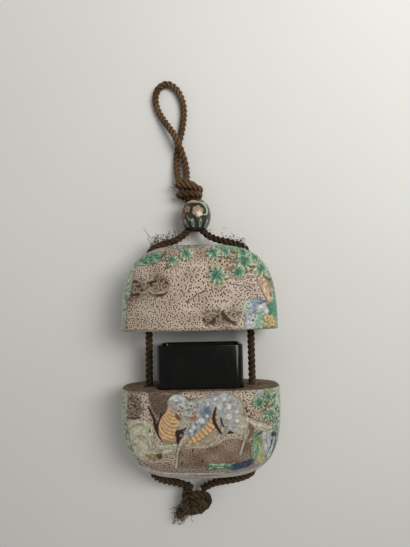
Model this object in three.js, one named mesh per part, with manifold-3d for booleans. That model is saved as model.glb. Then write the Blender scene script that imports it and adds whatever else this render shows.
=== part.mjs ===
// An inro: a small two-part porcelain case, threaded on one cord with a bead above it and a knot below.
// It lies on its back with the lid slid up its cords, so that the black box inside shows.
// Millimetres. X runs across the case, Y from its foot towards the cord's loop, and Z up from the table.
import * as THREE from "three";
import { mergeVertices } from "three/addons/utils/BufferGeometryUtils.js";
import Module from "manifold-3d";

const wasm = await Module();
wasm.setup();

// The case. Both halves are rounded boxes of the same width and length, and meet rim to rim when shut.
const CASE_WIDTH = 62;
const CASE_THICKNESS = 27.6; // before the back is trimmed flat
const BACK_TRIM = 0.6; // taken off the back, so that the case lies still
const HALF_LENGTH = 34; // of each half, from its rim to its crown
const LID_GAP = 22; // between the rims, with the lid slid up
const SECTION_POWER = 3.2; // 2 is an ellipse, and more is squarer
const AROUND = 36; // facets round the section
const ALONG = 10; // facets from rim to crown
const MIDDLE_Z = CASE_THICKNESS / 2 - BACK_TRIM;

const LID = { side: 1, power: 3.3 };
const LOWER = { side: -1, power: 3.6 };

// The black box that stands in the lower half, and the wells that it fits.
const BOX = { width: 33, depth: 18.5, radius: 3, wall: 1.4, floor: 1.8, top: 5.4 };
const WELL_GAP = 0.35;
const LOWER_FLOOR = 4.5; // of porcelain, under the black box
const LID_CEILING = 4.5;

// The cord, and the holes that it runs through.
const CORD = { radius: 1.4, sides: 8 };
const CORD_X = 20.5; // from the case's centre line
const CHANNEL = { x: 21.3, radius: 2.5, sides: 12 };
const EXIT_CLEARANCE = 0.6; // round the cord where it bends out of the case
const SLIVER = 0.02; // an edge shorter than this is closed up
const TOUCH = 0.3; // left between a cord and the knot or bead that it enters

const BEAD = { x: -1.2, y: 58.9, z: 6.9, radius: 6.7, length: 13.2 };
const UPPER_KNOT = { x: -3.7, y: 70.3, z: 4.7 };
const LOWER_KNOT = { x: -2.5, y: -58.2, z: 4.6 };

const KNOT_FLATTENING = 0.85; // of its turns, where the knot lies on the table
const FRAYED_RADIUS = 2.1; // of the lower knot's loosened end

const COLOURS = {
  porcelain: { color: 0xb9a698, roughness: 0.35 },
  lacquer: { color: 0x0b0c0a, roughness: 0.25 },
  silk: { color: 0x4a3a28, roughness: 0.9 },
  enamel: { color: 0x1c2420, roughness: 0.2 },
};

// ---- Solids ----

/** A closed three.js geometry as a manifold-3d solid. */
function solid(geometry) {
  const bare = new THREE.BufferGeometry().setAttribute("position", geometry.getAttribute("position"));
  if (geometry.index) bare.setIndex(geometry.index);
  const merged = mergeVertices(bare, 1e-4);
  return new wasm.Manifold(
    new wasm.Mesh({
      numProp: 3,
      vertProperties: merged.attributes.position.array,
      triVerts: new Uint32Array(merged.index.array),
    }),
  );
}

const union = (solids) => solids.reduce((whole, piece) => whole.add(piece));

/** A solid as a named mesh in its own finish, without the slivers that cutting leaves. */
function piece(name, made, finish) {
  const mesh = made.asOriginal().simplify(SLIVER).getMesh();
  const places = new Float32Array(mesh.numVert * 3);
  for (let i = 0; i < mesh.numVert; i++) {
    places.set(mesh.vertProperties.subarray(i * mesh.numProp, i * mesh.numProp + 3), i * 3);
  }
  const geometry = new THREE.BufferGeometry()
    .setAttribute("position", new THREE.BufferAttribute(places, 3))
    .setIndex(new THREE.BufferAttribute(mesh.triVerts, 1));
  geometry.computeVertexNormals();
  const shown = new THREE.Mesh(geometry, new THREE.MeshStandardMaterial(COLOURS[finish]));
  shown.name = name;
  return shown;
}

/** A closed tube along a smooth path through the points. */
function tube(points, radius, { steps, sides = CORD.sides, stretch = 0 }) {
  const path = new THREE.CatmullRomCurve3(points.map((p) => new THREE.Vector3(...p)), false, "centripetal");
  if (stretch) {
    const [first, last] = [path.points[0], path.points.at(-1)];
    first.addScaledVector(path.getTangent(0), -stretch);
    last.addScaledVector(path.getTangent(1), stretch);
  }
  const section = Array.from({ length: sides }, (_, i) => {
    const angle = (2 * Math.PI * i) / sides;
    return new THREE.Vector2(radius * Math.cos(angle), radius * Math.sin(angle));
  });
  return solid(new THREE.ExtrudeGeometry(new THREE.Shape(section), { steps, extrudePath: path }));
}

/** An upright block with round corners: width across, depth up from the table, from low to high along Y. */
function block({ width, depth, radius }, low, high) {
  const [x, y] = [width / 2, depth / 2];
  const shape = new THREE.Shape()
    .moveTo(x - radius, -y)
    .absarc(x - radius, radius - y, radius, -Math.PI / 2, 0)
    .absarc(x - radius, y - radius, radius, 0, Math.PI / 2)
    .absarc(radius - x, y - radius, radius, Math.PI / 2, Math.PI)
    .absarc(radius - x, radius - y, radius, Math.PI, 1.5 * Math.PI);
  const geometry = new THREE.ExtrudeGeometry(shape, { depth: high - low, bevelEnabled: false, curveSegments: 5 });
  return solid(geometry.rotateX(-Math.PI / 2).translate(0, low, MIDDLE_Z));
}

/** A block's size with more on every side. */
const grown = ({ width, depth, radius }, by) => ({
  width: width + 2 * by,
  depth: depth + 2 * by,
  radius: radius + by,
});

// ---- The case's form ----

const signedPower = (value, power) => Math.sign(value) * Math.abs(value) ** power;

/** The outside of one half, solid: a turned form whose round section is squeezed into the case's. */
function halfForm({ side, power }) {
  const profile = [new THREE.Vector2(0, 0)];
  for (let i = 0; i < ALONG; i++) {
    const angle = (Math.PI / 2) * (i / ALONG);
    profile.push(new THREE.Vector2(Math.cos(angle) ** (2 / power), Math.sin(angle) ** (2 / power)));
  }
  profile.push(new THREE.Vector2(0, 1));
  const form = new THREE.LatheGeometry(profile, AROUND);
  const places = form.getAttribute("position");
  for (let i = 0; i < places.count; i++) {
    const [x, along, z] = [places.getX(i), places.getY(i), places.getZ(i)];
    const scale = Math.hypot(x, z) || 1;
    places.setXYZ(
      i,
      (CASE_WIDTH / 2) * scale * signedPower(x / scale, 2 / SECTION_POWER),
      side * (LID_GAP / 2 + along * HALF_LENGTH),
      Math.max(0, MIDDLE_Z + (CASE_THICKNESS / 2) * scale * signedPower(z / scale, 2 / SECTION_POWER)),
    );
  }
  if (side < 0) turnInsideOut(form);
  return solid(form);
}

function turnInsideOut(geometry) {
  const index = geometry.index.array;
  for (let i = 0; i < index.length; i += 3) [index[i], index[i + 1]] = [index[i + 1], index[i]];
}

/** Below 1 inside a half's form, 1 on its surface and above 1 outside. */
function depthIn({ side, power }, p) {
  const along = Math.max(0, (side * p.y - LID_GAP / 2) / HALF_LENGTH);
  const across = Math.abs(p.x / (CASE_WIDTH / 2)) ** SECTION_POWER;
  const through = Math.abs((p.z - MIDDLE_Z) / (CASE_THICKNESS / 2)) ** SECTION_POWER;
  return (across + through) ** (power / SECTION_POWER) + along ** power;
}

/** Where the straight line from an outside point to an inside one meets a half's surface, and the way out there. */
function meet(half, outside, inside) {
  let [far, near] = [outside.clone(), inside.clone()];
  const place = new THREE.Vector3();
  for (let i = 0; i < 24; i++) {
    place.lerpVectors(far, near, 0.5);
    (depthIn(half, place) > 1 ? far : near).copy(place);
  }
  const step = 0.05;
  const out = new THREE.Vector3(
    ...["x", "y", "z"].map((axis) => {
      const [ahead, behind] = [place.clone(), place.clone()];
      ahead[axis] += step;
      behind[axis] -= step;
      return depthIn(half, ahead) - depthIn(half, behind);
    }),
  ).normalize();
  return { place, out };
}

/** The views that carving is laid out in: each turns a plan's two numbers into a line towards the case. */
const VIEWS = {
  front: (x, y) => [new THREE.Vector3(x, y, 40), new THREE.Vector3(x, y, MIDDLE_Z)],
  back: (x, y) => [new THREE.Vector3(-x, y, -20), new THREE.Vector3(-x, y, MIDDLE_Z)],
  left: (z, y) => [new THREE.Vector3(-50, y, z), new THREE.Vector3(0, y, z)],
  right: (z, y) => [new THREE.Vector3(50, y, z), new THREE.Vector3(0, y, z)],
};

const onCase = (half, view, u, v) => meet(half, ...VIEWS[view](u, v));

// ---- Carving ----

/**
 * A rounded ridge of clay on the case. Each stop is [u, v, radius] in the view's plan, and lift is how far,
 * in radii, the ridge's middle lies above the surface.
 */
function ridge(half, stops, { view = "front", steps = 6, sides = 6, lift = 0.1, height = 0.85 } = {}) {
  const line = new THREE.CatmullRomCurve3(stops.map((stop) => new THREE.Vector3(...stop)), false, "centripetal");
  const rings = line.getPoints(steps).map(({ x: u, y: v, z: radius }) => {
    const { place, out } = onCase(half, view, u, v);
    return { middle: place.addScaledVector(out, lift * radius), out, radius };
  });
  const places = [];
  rings.forEach(({ middle, out, radius }, i) => {
    const before = rings[Math.max(0, i - 1)].middle;
    const after = rings[Math.min(rings.length - 1, i + 1)].middle;
    const across = new THREE.Vector3().subVectors(after, before).cross(out).normalize();
    for (let k = 0; k < sides; k++) {
      const angle = (2 * Math.PI * k) / sides;
      const place = middle
        .clone()
        .addScaledVector(across, radius * Math.cos(angle))
        .addScaledVector(out, radius * height * Math.sin(angle));
      places.push(...place);
    }
  });
  const tip = (end, next) => {
    const along = new THREE.Vector3().subVectors(end.middle, next.middle).normalize();
    return end.middle.clone().addScaledVector(along, end.radius * 0.8);
  };
  places.push(...tip(rings[0], rings[1]), ...tip(rings.at(-1), rings.at(-2)));
  return skinned(places, rings.length, sides);
}

/** A closed solid from rings of points, with a last point beyond the first ring and one beyond the last. */
function skinned(places, rings, sides) {
  const faces = [];
  const [first, last] = [rings * sides, rings * sides + 1];
  for (let k = 0; k < sides; k++) {
    const next = (k + 1) % sides;
    for (let i = 0; i < rings - 1; i++) {
      const [a, b] = [i * sides, (i + 1) * sides];
      faces.push(a + k, b + next, a + next, a + k, b + k, b + next);
    }
    faces.push(first, k, next);
    faces.push(last, (rings - 1) * sides + next, (rings - 1) * sides + k);
  }
  const geometry = new THREE.BufferGeometry()
    .setAttribute("position", new THREE.BufferAttribute(new Float32Array(places), 3))
    .setIndex(faces);
  return solid(geometry);
}

const LEAF = { lobes: 7, notch: 0.42, thickness: 0.75, crown: 0.5, root: 1 };

/** A maple leaf laid on the case: a star of pointed lobes, highest in the middle. */
function mapleLeaf(half, [u, v, size, turn], view = "front") {
  const points = 2 * LEAF.lobes;
  const places = [];
  const add = ({ place, out }, height) => places.push(...place.clone().addScaledVector(out, height));
  for (const height of [LEAF.thickness, -LEAF.root]) {
    for (let i = 0; i < points; i++) {
      const reach = (i % 2 ? LEAF.notch : 1) * size;
      const angle = turn + (2 * Math.PI * i) / points;
      add(onCase(half, view, u + reach * Math.cos(angle), v + reach * Math.sin(angle)), height);
    }
  }
  const middle = onCase(half, view, u, v);
  add(middle, LEAF.thickness + LEAF.crown);
  add(middle, -LEAF.root);
  return starSolid(places, points);
}

/** Two stacked rings of points and their two middles as a closed solid. */
function starSolid(places, points) {
  const faces = [];
  for (let i = 0; i < points; i++) {
    const next = (i + 1) % points;
    faces.push(2 * points, i, next, 2 * points + 1, points + next, points + i);
    faces.push(i, points + i, points + next, i, points + next, next);
  }
  return solid(
    new THREE.BufferGeometry()
      .setAttribute("position", new THREE.BufferAttribute(new Float32Array(places), 3))
      .setIndex(faces),
  );
}

/** A curl of cloud: a ridge that winds in on itself. */
function curl(half, [u, v, size, turn, hand]) {
  const turns = 1.25;
  const stops = Array.from({ length: 8 }, (_, i) => {
    const share = i / 7;
    const angle = turn + hand * 2 * Math.PI * turns * share;
    const reach = size * (1 - 0.78 * share);
    return [u + reach * Math.cos(angle), v + reach * Math.sin(angle), 0.2 * size * (1 - 0.3 * share)];
  });
  return ridge(half, stops, { steps: 10, sides: 5, lift: 0.25 });
}

// Leaves are [x, y, size, turn], and curls [x, y, size, turn, hand].
const LID_LEAVES = [
  [-9.8, 38.2, 3.4, 0.3],
  [-4.4, 40, 3.5, 0.9],
  [6.5, 40, 3.9, 0.1],
  [7.4, 31.4, 4.6, 0.5],
  [12.3, 40, 3, 0.7],
  [16.4, 37.2, 4.4, 0.2],
  [14.8, 32.4, 3.6, 0.8],
  [21.6, 38.2, 3.2, 0.4],
  [23.6, 33, 3.8, 0],
];
const LID_CURLS = [
  [-21.6, 28.8, 3, 0.5, 1],
  [-17.4, 29.6, 2.6, 2.6, -1],
  [-14.2, 26.8, 2.6, 1.2, 1],
  [-20.6, 24.6, 2.4, 3.6, 1],
  [4.4, 15.8, 2.9, 1.9, 1],
  [11.8, 16, 2.7, 0.4, -1],
];
const BACK_LEAVES = [
  [-23.5, 28.4, 3.6, 0.4],
  [23.5, 25, 3.8, 0.6],
  [-24, 18.5, 3.2, 0.9],
];

function lidCarving() {
  const fern = [[-25.6, 32.6, 1.1], [-23.2, 36, 1.7], [-18.6, 38.4, 2], [-14.2, 39.2, 1.2]];
  const edgeFern = [[17, 36, 1.2], [14.5, 28, 2], [13.5, 20, 1.6], [13, 14, 1.1]];
  const twigs = [
    [[4, 34, 0.5], [4.1, 31, 0.5], [7.4, 29.2, 0.45], [13.3, 28, 0.4], [19.3, 27.2, 0.3]],
    [[4.4, 26.4, 0.4], [-0.2, 24.6, 0.45], [-4, 22, 0.3]],
  ];
  const trunk = [[24.6, 30, 1.7], [26, 26, 1.4], [26.6, 21.5, 1]];
  const rocks = [
    [[19.6, 13, 2.2], [19.8, 17, 2.6], [21.4, 20, 1.8]],
    [[23.6, 12.8, 2.4], [23.8, 16.6, 2.6], [23, 20.6, 1.4]],
    [[27.4, 13, 1.6], [27.2, 16.6, 1.4]],
  ];
  return [
    ridge(LID, fern, { lift: 0 }),
    ...["left", "right"].map((view) => ridge(LID, edgeFern, { view, lift: -0.5 })),
    ...twigs.map((twig) => ridge(LID, twig, { steps: 5, sides: 5, lift: 0.3 })),
    ridge(LID, trunk, { steps: 4, lift: 0 }),
    ...rocks.map((rock) => ridge(LID, rock, { steps: 3, sides: 6, lift: -0.1, height: 0.7 })),
    ...LID_LEAVES.map((leaf) => mapleLeaf(LID, leaf)),
    ...LID_CURLS.map((one) => curl(LID, one)),
    ...BACK_LEAVES.map((leaf) => mapleLeaf(LID, leaf, "back")),
  ];
}

/** The beast on the lower half: it walks left and looks back over its shoulder. */
function beast() {
  const body = [
    [[-1.5, -17.4, 4.2], [3, -19.2, 5.2], [8.4, -18, 5], [12.6, -19, 5]],
    [[-1.5, -20.5, 3.6], [-1.6, -24.5, 3.2], [-4.6, -27.8, 2.2]],
    [[-11.6, -27.8, 2.6], [-12.2, -24.6, 3.6], [-11, -20.4, 3.2], [-8, -17.6, 3]],
  ];
  const head = [
    [[-9.4, -14.6, 2.6], [-6.2, -15.4, 3.4], [-2.8, -17, 2.6]],
    [[-4.2, -17.6, 2], [-2.6, -20, 1.6]],
  ];
  const legs = [
    [[-6, -28.6, 1.7], [-8.4, -31.2, 1.1], [-9.3, -35, 0.8], [-9.6, -38.6, 0.9]],
    [[-13.6, -27.6, 1.2], [-16.8, -28, 0.9], [-17, -31.4, 0.7], [-15.4, -33.4, 0.8]],
    [[13.6, -20.4, 3], [16.2, -25.4, 1.6], [15.4, -29.6, 0.9], [13.6, -34.2, 0.9]],
    [[9.6, -22.6, 2.4], [6.2, -25.8, 1.3], [2.2, -28.6, 0.9], [0.2, -31.8, 0.8]],
  ];
  const tail = [[14.6, -16.4, 1.4], [17.6, -20.6, 1.2], [21.4, -22.4, 1.1], [25, -23.8, 0.6]];
  return [
    ...body.map((part) => ridge(LOWER, part, { steps: 4, sides: 9, lift: -0.35, height: 0.68 })),
    ...head.map((part) => ridge(LOWER, part, { steps: 3, sides: 8, lift: 0.1 })),
    ...legs.map((leg) => ridge(LOWER, leg, { steps: 5, sides: 6, lift: 0.15 })),
    ridge(LOWER, tail, { steps: 5, sides: 6, lift: 0.1 }),
  ];
}

function lowerCarving() {
  const waves = [0, 1, 2].map((i) => [
    [-26.2, -22.6 - 3.6 * i, 0.8],
    [-22.4, -21.6 - 3.8 * i, 1.1],
    [-18.6, -23.2 - 3.6 * i, 0.7],
  ]);
  const hill = [[-5.4, -31.6, 0.5], [-1, -30.8, 0.6], [4, -29.2, 0.6], [10.6, -27.8, 0.5]];
  const foot = [[-22, -33.4, 0.6], [-16.6, -35, 0.6], [-10.4, -35.8, 0.5]];
  const bank = [[3, -38.2, 0.8], [10, -37.8, 1.1], [16, -37, 1.2], [20.4, -35.6, 0.8]];
  const rocks = [
    [[21.4, -34.4, 1.6], [20.8, -29, 1.7], [21.8, -25, 1.2]],
    [[25.2, -33, 1.8], [26, -28.4, 2], [24.4, -24, 1.4]],
  ];
  const leaves = [
    [21.4, -15.4, 3, 0.4],
    [25.6, -19.6, 2.6, 0.9],
    [24.8, -13.6, 2.2, 0.1],
  ];
  const curls = [
    [-25.2, -15.8, 2.3, 0.3, 1],
    [-15.6, -14.2, 2.6, 1.2, -1],
  ];
  return [
    ...waves.map((wave) => ridge(LOWER, wave, { steps: 4, sides: 5, lift: 0 })),
    ...[hill, foot, bank].map((line) => ridge(LOWER, line, { steps: 5, sides: 5, lift: 0.2 })),
    ...rocks.map((rock) => ridge(LOWER, rock, { steps: 3, sides: 6, lift: -0.1 })),
    ...leaves.map((leaf) => mapleLeaf(LOWER, leaf)),
    ...curls.map((one) => curl(LOWER, one)),
    ...beast(),
    mapleLeaf(LOWER, [23.5, -25, 3.4, 0.3], "back"),
    mapleLeaf(LOWER, [-23.5, -20, 3.8, 0.7], "back"),
  ];
}

// ---- The cord's routes ----

/** One side's cord: up from the lower knot, through the case and the lid, and on into the bead and upper knot. */
function sideCord(side) {
  const at = (x) => side * x;
  const inBead = BEAD.x + side * (CORD.radius + 0.2);
  return [
    [LOWER_KNOT.x + at(2.2), LOWER_KNOT.y + 4.4, LOWER_KNOT.z + 0.8],
    [LOWER_KNOT.x + at(6.6), -51.2, 6.8],
    [at(CORD_X - 4.6) + LOWER_KNOT.x / 3, -48, 10],
    [at(CORD_X - 1.3), -45, MIDDLE_Z - 0.9],
    [at(CORD_X), -40.6, MIDDLE_Z],
    [at(CORD_X), -34, MIDDLE_Z],
    [at(CORD_X), 0, MIDDLE_Z],
    [at(CORD_X), 34, MIDDLE_Z],
    [at(CORD_X), 39.6, MIDDLE_Z],
    [at(CORD_X - 1.7), 43.8, MIDDLE_Z - 0.4],
    [at(CORD_X - 6.2), 46.2, MIDDLE_Z - 2],
    [at(CORD_X - 12) + BEAD.x / 2, 48.1, 9.6],
    [at(4.6) + BEAD.x, 50.9, 7.6],
    [inBead, 54.8, BEAD.z],
    [inBead, 60.6, BEAD.z],
    [inBead, 66.2, 6],
  ];
}

const LEFT_CORD = sideCord(-1);
const RIGHT_CORD = sideCord(1);

// Out of the upper knot, round, over itself and back.
const LOOP = [
  [-7.7, 73, 4.6],
  [-8.5, 78, 3],
  [-9, 83, 1.7],
  [-8.8, 88, 1.6],
  [-8, 93, 1.6],
  [-6.8, 98, 1.6],
  [-5.9, 103, 1.6],
  [-5.5, 108, 1.6],
  [-6.2, 113.2, 1.6],
  [-8.7, 118.4, 1.6],
  [-12.8, 121, 1.6],
  [-16.6, 119.2, 1.6],
  [-18.2, 114.8, 1.6],
  [-17.5, 109.8, 1.6],
  [-15.2, 104.8, 2.1],
  [-12.4, 100.2, 3.4],
  [-9.8, 96, 4.5],
  [-8.1, 92, 4.6],
  [-6.6, 88, 3.9],
  [-5.4, 84, 2.6],
  [-4.7, 79.6, 2.4],
  [-4.7, 73.2, 4.6],
];

const SIDE_STEPS = 28;
const LOOP_STEPS = 26;

/** The space that a cord needs at its end, to cut from what it enters. */
const socket = (route, steps, clearance = TOUCH) =>
  tube(route, CORD.radius + clearance, { steps, stretch: TOUCH });

// ---- The pieces ----

function porcelainHalf(half, carving, depth, clearance) {
  const [rim, beyond] = [(half.side * LID_GAP) / 2, half.side * (LID_GAP / 2 - 1)];
  const end = half.side * (LID_GAP / 2 + depth);
  const well = block(grown(BOX, clearance), Math.min(beyond, end), Math.max(beyond, end));
  const channels = [-1, 1].map((side) =>
    solid(
      new THREE.CylinderGeometry(CHANNEL.radius, CHANNEL.radius, HALF_LENGTH + 4, CHANNEL.sides).translate(
        side * CHANNEL.x,
        rim + (half.side * HALF_LENGTH) / 2,
        MIDDLE_Z,
      ),
    ),
  );
  const exits = [LEFT_CORD, RIGHT_CORD].map((route) => socket(route, SIDE_STEPS, EXIT_CLEARANCE));
  const pastRim = solid(
    new THREE.BoxGeometry(2 * CASE_WIDTH, LID_GAP / 2, 2 * CASE_WIDTH).translate(0, rim / 2, MIDDLE_Z),
  );
  return above(union([halfForm(half), ...carving]).subtract(union([well, pastRim, ...channels, ...exits])));
}

function innerBox() {
  const bottom = -(LID_GAP / 2 + HALF_LENGTH) + LOWER_FLOOR + WELL_GAP;
  return block(BOX, bottom, BOX.top).subtract(block(grown(BOX, -BOX.wall), bottom + BOX.floor, BOX.top + 1));
}

/** The bead, threaded by both cords side by side. */
function bead() {
  const profile = [new THREE.Vector2(0, -BEAD.length / 2)];
  const steps = 7;
  for (let i = 1; i < steps; i++) {
    const angle = Math.PI * (i / steps);
    profile.push(new THREE.Vector2(BEAD.radius * Math.sin(angle) ** 0.85, (-BEAD.length / 2) * Math.cos(angle)));
  }
  profile.push(new THREE.Vector2(0, BEAD.length / 2));
  const round = solid(new THREE.LatheGeometry(profile, 16).translate(BEAD.x, BEAD.y, BEAD.z));
  return round.subtract(union([LEFT_CORD, RIGHT_CORD].map((route) => socket(route, SIDE_STEPS))));
}

/** A knot's outer shape: a lump with flattened turns of cord round it, each [reach, place along, lean]. */
function knot({ x, y, z }, core, turns) {
  const lump = solid(new THREE.SphereGeometry(1, 10, 6).scale(...core).translate(x, y, z));
  const wraps = turns.map(([reach, along, lean]) =>
    solid(
      new THREE.TorusGeometry(reach, CORD.radius + 0.1, 6, 12)
        .scale(1, KNOT_FLATTENING, 1)
        .rotateX(Math.PI / 2)
        .rotateZ(lean)
        .translate(x, y + along, z),
    ),
  );
  return union([lump, ...wraps]);
}

function upperKnot() {
  const made = knot(UPPER_KNOT, [5.2, 4.2, 4], [[4.9, 1.6, -0.28], [4.5, -1.9, -0.12]]);
  const cords = [socket(LEFT_CORD, SIDE_STEPS), socket(RIGHT_CORD, SIDE_STEPS), socket(LOOP, LOOP_STEPS)];
  return above(made.subtract(union(cords)).subtract(gapAbove(bead())));
}

function lowerKnot() {
  const frayedEnd = tube(
    [[-3.6, -57.8, 4.4], [-7.6, -61.4, 3.8], [-11.4, -65.4, 2.8]],
    FRAYED_RADIUS,
    { steps: 4 },
  );
  const made = knot(LOWER_KNOT, [5.8, 5.2, 4.2], [[4.8, 2, 0.2], [4.4, -1.8, 0.5]]).add(frayedEnd);
  return above(made.subtract(union([LEFT_CORD, RIGHT_CORD].map((route) => socket(route, SIDE_STEPS)))));
}

/** A solid without what would reach below the table. */
function above(made) {
  const table = solid(new THREE.BoxGeometry(200, 400, 20).translate(0, 0, -10));
  return made.subtract(table);
}

/** Room for a neighbour that a knot is pulled tight against. */
function gapAbove(neighbour) {
  return union([neighbour, neighbour.translate([0, TOUCH, 0])]);
}

const inro = new THREE.Group();
inro.add(
  piece("lid", porcelainHalf(LID, lidCarving(), HALF_LENGTH - LID_CEILING, WELL_GAP + 0.15), "porcelain"),
  piece("lower_case", porcelainHalf(LOWER, lowerCarving(), HALF_LENGTH - LOWER_FLOOR, WELL_GAP), "porcelain"),
  piece("inner_box", innerBox(), "lacquer"),
  piece("bead", bead(), "enamel"),
  piece("upper_knot", upperKnot(), "silk"),
  piece("lower_knot", lowerKnot(), "silk"),
  piece("left_cord", tube(LEFT_CORD, CORD.radius, { steps: SIDE_STEPS }), "silk"),
  piece("right_cord", tube(RIGHT_CORD, CORD.radius, { steps: SIDE_STEPS }), "silk"),
  piece("cord_loop", tube(LOOP, CORD.radius, { steps: LOOP_STEPS }), "silk"),
);

export default inro;
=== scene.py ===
"""An inro of enamelled porcelain, lying open on its back: lid, lower case, black inner box, bead and cord."""
import math

import bmesh
import bpy
import numpy as np
from mathutils import Matrix, Vector
from mathutils.kdtree import KDTree


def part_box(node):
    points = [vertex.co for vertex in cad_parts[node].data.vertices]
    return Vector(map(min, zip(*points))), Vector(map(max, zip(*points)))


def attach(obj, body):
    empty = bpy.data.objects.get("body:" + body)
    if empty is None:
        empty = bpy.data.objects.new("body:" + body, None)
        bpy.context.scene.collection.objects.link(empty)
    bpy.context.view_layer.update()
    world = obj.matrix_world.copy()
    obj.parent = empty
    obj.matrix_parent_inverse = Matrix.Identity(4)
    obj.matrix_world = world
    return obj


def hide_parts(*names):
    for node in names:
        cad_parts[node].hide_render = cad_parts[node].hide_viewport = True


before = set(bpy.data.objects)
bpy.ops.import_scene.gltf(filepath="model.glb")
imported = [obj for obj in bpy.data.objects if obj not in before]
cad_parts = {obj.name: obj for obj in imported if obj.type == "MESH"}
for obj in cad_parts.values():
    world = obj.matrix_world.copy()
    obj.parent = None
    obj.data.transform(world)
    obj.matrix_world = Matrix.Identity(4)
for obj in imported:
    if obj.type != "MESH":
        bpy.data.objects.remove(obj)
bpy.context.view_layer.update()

MM = 0.001


def node_box(name):
    """A node's lowest and highest corners, in millimetres."""
    return [np.array(corner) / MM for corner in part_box(name)]


# ---- Sizes, in millimetres. X runs across the case, Y towards the cord's loop and Z up ----

LOWER_LOW, LOWER_HIGH = node_box("lower_case")
BOX_LOW, BOX_HIGH = node_box("inner_box")
BEAD_LOW, BEAD_HIGH = node_box("bead")

RIM_Y = -LOWER_HIGH[1]  # of either half, from the middle of the gap between them
HALF_LENGTH = LOWER_HIGH[1] - LOWER_LOW[1]
HALF_WIDTH = LOWER_HIGH[0]
MIDDLE_Z = (BOX_LOW[2] + BOX_HIGH[2]) / 2
HALF_THICKNESS = MIDDLE_Z + 0.6  # the back is trimmed flat by this much
SECTION_POWER = 3.2  # 2 is an ellipse, and more is squarer
OUTLINE_POWER = {"lid": 3.3, "lower_case": 3.6}
SIDE = {"lid": 1, "lower_case": -1}
END_WALL = 4.5  # of porcelain, past the end of the well
WELL_GAP = {"lid": 0.5, "lower_case": 0.35}
BOX_RADIUS = 3  # of the black box's corners
BOX_WALL = 1.4
BOX_FLOOR = 1.8

CORD_RADIUS = 1.4
CORD_X = 20.5  # where each cord runs through the case
CHANNEL_X = 21.3
CHANNEL_RADIUS = 2.5
BEAD = (BEAD_LOW + BEAD_HIGH) / 2
UPPER_KNOT = np.array([-3.7, 70.3, 4.7])
LOWER_KNOT = np.array([-2.5, -58.2, 4.6])


def side_cord(side):
    """One side's cord: from the lower knot through the case and the lid, the bead and into the upper knot."""
    in_bead = BEAD[0] + side * (CORD_RADIUS + 0.2)
    return [
        (LOWER_KNOT[0] + side * 2.2, LOWER_KNOT[1] + 4.4, LOWER_KNOT[2] + 0.8),
        (LOWER_KNOT[0] + side * 6.6, -51.2, 6.8),
        (side * (CORD_X - 4.6) + LOWER_KNOT[0] / 3, -48, 10),
        (side * (CORD_X - 1.3), -45, MIDDLE_Z - 0.9),
        (side * CORD_X, -40.6, MIDDLE_Z),
        (side * CORD_X, -34, MIDDLE_Z),
        (side * CORD_X, 0, MIDDLE_Z),
        (side * CORD_X, 34, MIDDLE_Z),
        (side * CORD_X, 39.6, MIDDLE_Z),
        (side * (CORD_X - 1.7), 43.8, MIDDLE_Z - 0.4),
        (side * (CORD_X - 6.2), 46.2, MIDDLE_Z - 2),
        (side * (CORD_X - 12) + BEAD[0] / 2, 48.1, 9.6),
        (side * 4.6 + BEAD[0], 50.9, 7.6),
        (in_bead, 54.8, BEAD[2]),
        (in_bead, 60.6, BEAD[2]),
        (in_bead, 66.2, 6),
    ]


# Out of the upper knot, round, over itself and back.
LOOP = [
    (-7.7, 73, 4.6), (-8.5, 78, 3), (-9, 83, 1.7), (-8.8, 88, 1.6), (-8, 93, 1.6), (-6.8, 98, 1.6),
    (-5.9, 103, 1.6), (-5.5, 108, 1.6), (-6.2, 113.2, 1.6), (-8.7, 118.4, 1.6), (-12.8, 121, 1.6),
    (-16.6, 119.2, 1.6), (-18.2, 114.8, 1.6), (-17.5, 109.8, 1.6), (-15.2, 104.8, 2.1), (-12.4, 100.2, 3.4),
    (-9.8, 96, 4.5), (-8.1, 92, 4.6), (-6.6, 88, 3.9), (-5.4, 84, 2.6), (-4.7, 79.6, 2.4), (-4.7, 73.2, 4.6),
]

# The mesh of each half's outside.
FRONT_COLUMNS = 336
BACK_COLUMNS = 108
WALL_ROWS = 150
CROWN_ROWS = 40
CROWN_FROM = 0.6  # of the way from rim to crown, where the rows may lie further apart
RIM_ROUND = 0.4
CARVED_EDGE = 50  # degrees, over which an edge of the porcelain stays sharp
BARE_LEVEL = 0.93  # of the form's level, under which a surface is inside the case

# Where the carving and the paint go.
EDGE_Z = 20  # the front turns into the side here
BACK_Z = 6  # and the side into the back here
BACK_U = 73.5  # the back's middle, measured round the case from the front's middle
CROWN_Y = 43.5  # the front turns into the crown here
CROWN_BLEND = 3.5
HOLLOW_DEPTH = 0.32  # of a hollow that gets the full painted shade, with some grime
HOLLOW_SHADE_DARKENS, RIDGE_HIGHLIGHT_LIGHTENS = 0.72, 0.3  # at most, as a share of the colour: painted shade in hollows, painted highlight on raised parts
CLEAR_OF_EDGES = 0.5  # the relief fades out over this, at the rim and at the table

PIT = 0.92  # from one punched pit of the ground to the next
LONG_PIT = 0.95
HIDE_SPOT = 2.1

LAY = 6.5  # along the cord, for one turn of its strands
ROPE_RADIUS = 1.56  # out to the crests of the strands, which stand proud of the cord's usual width
ROPE_SIDES = 24
ROPE_STEP = 0.42
FILAMENT = 0.09  # radius of a loose thread; real ones are finer, and wouldn't show

# ---- Camera, light and the surface that the case lies on ----

CAMERA_AT = (2.53, 18.58, 183.86)
CAMERA_TILT = 5  # degrees off straight down, towards the loop
CAMERA_ROLL = 1.15
LENS = 27.64
FLOOR_REACH = 3000
FLOOR_GAP = 0.0002  # metres, that the board lies below the case


def colour(hex_code, alpha=1.0):
    """A colour as it looks on a screen, turned to the linear values that light works in."""
    channels = [int(hex_code[i:i + 2], 16) / 255 for i in (1, 3, 5)]
    linear = [c / 12.92 if c <= 0.04045 else ((c + 0.055) / 1.055) ** 2.4 for c in channels]
    return (*linear, alpha)


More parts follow.
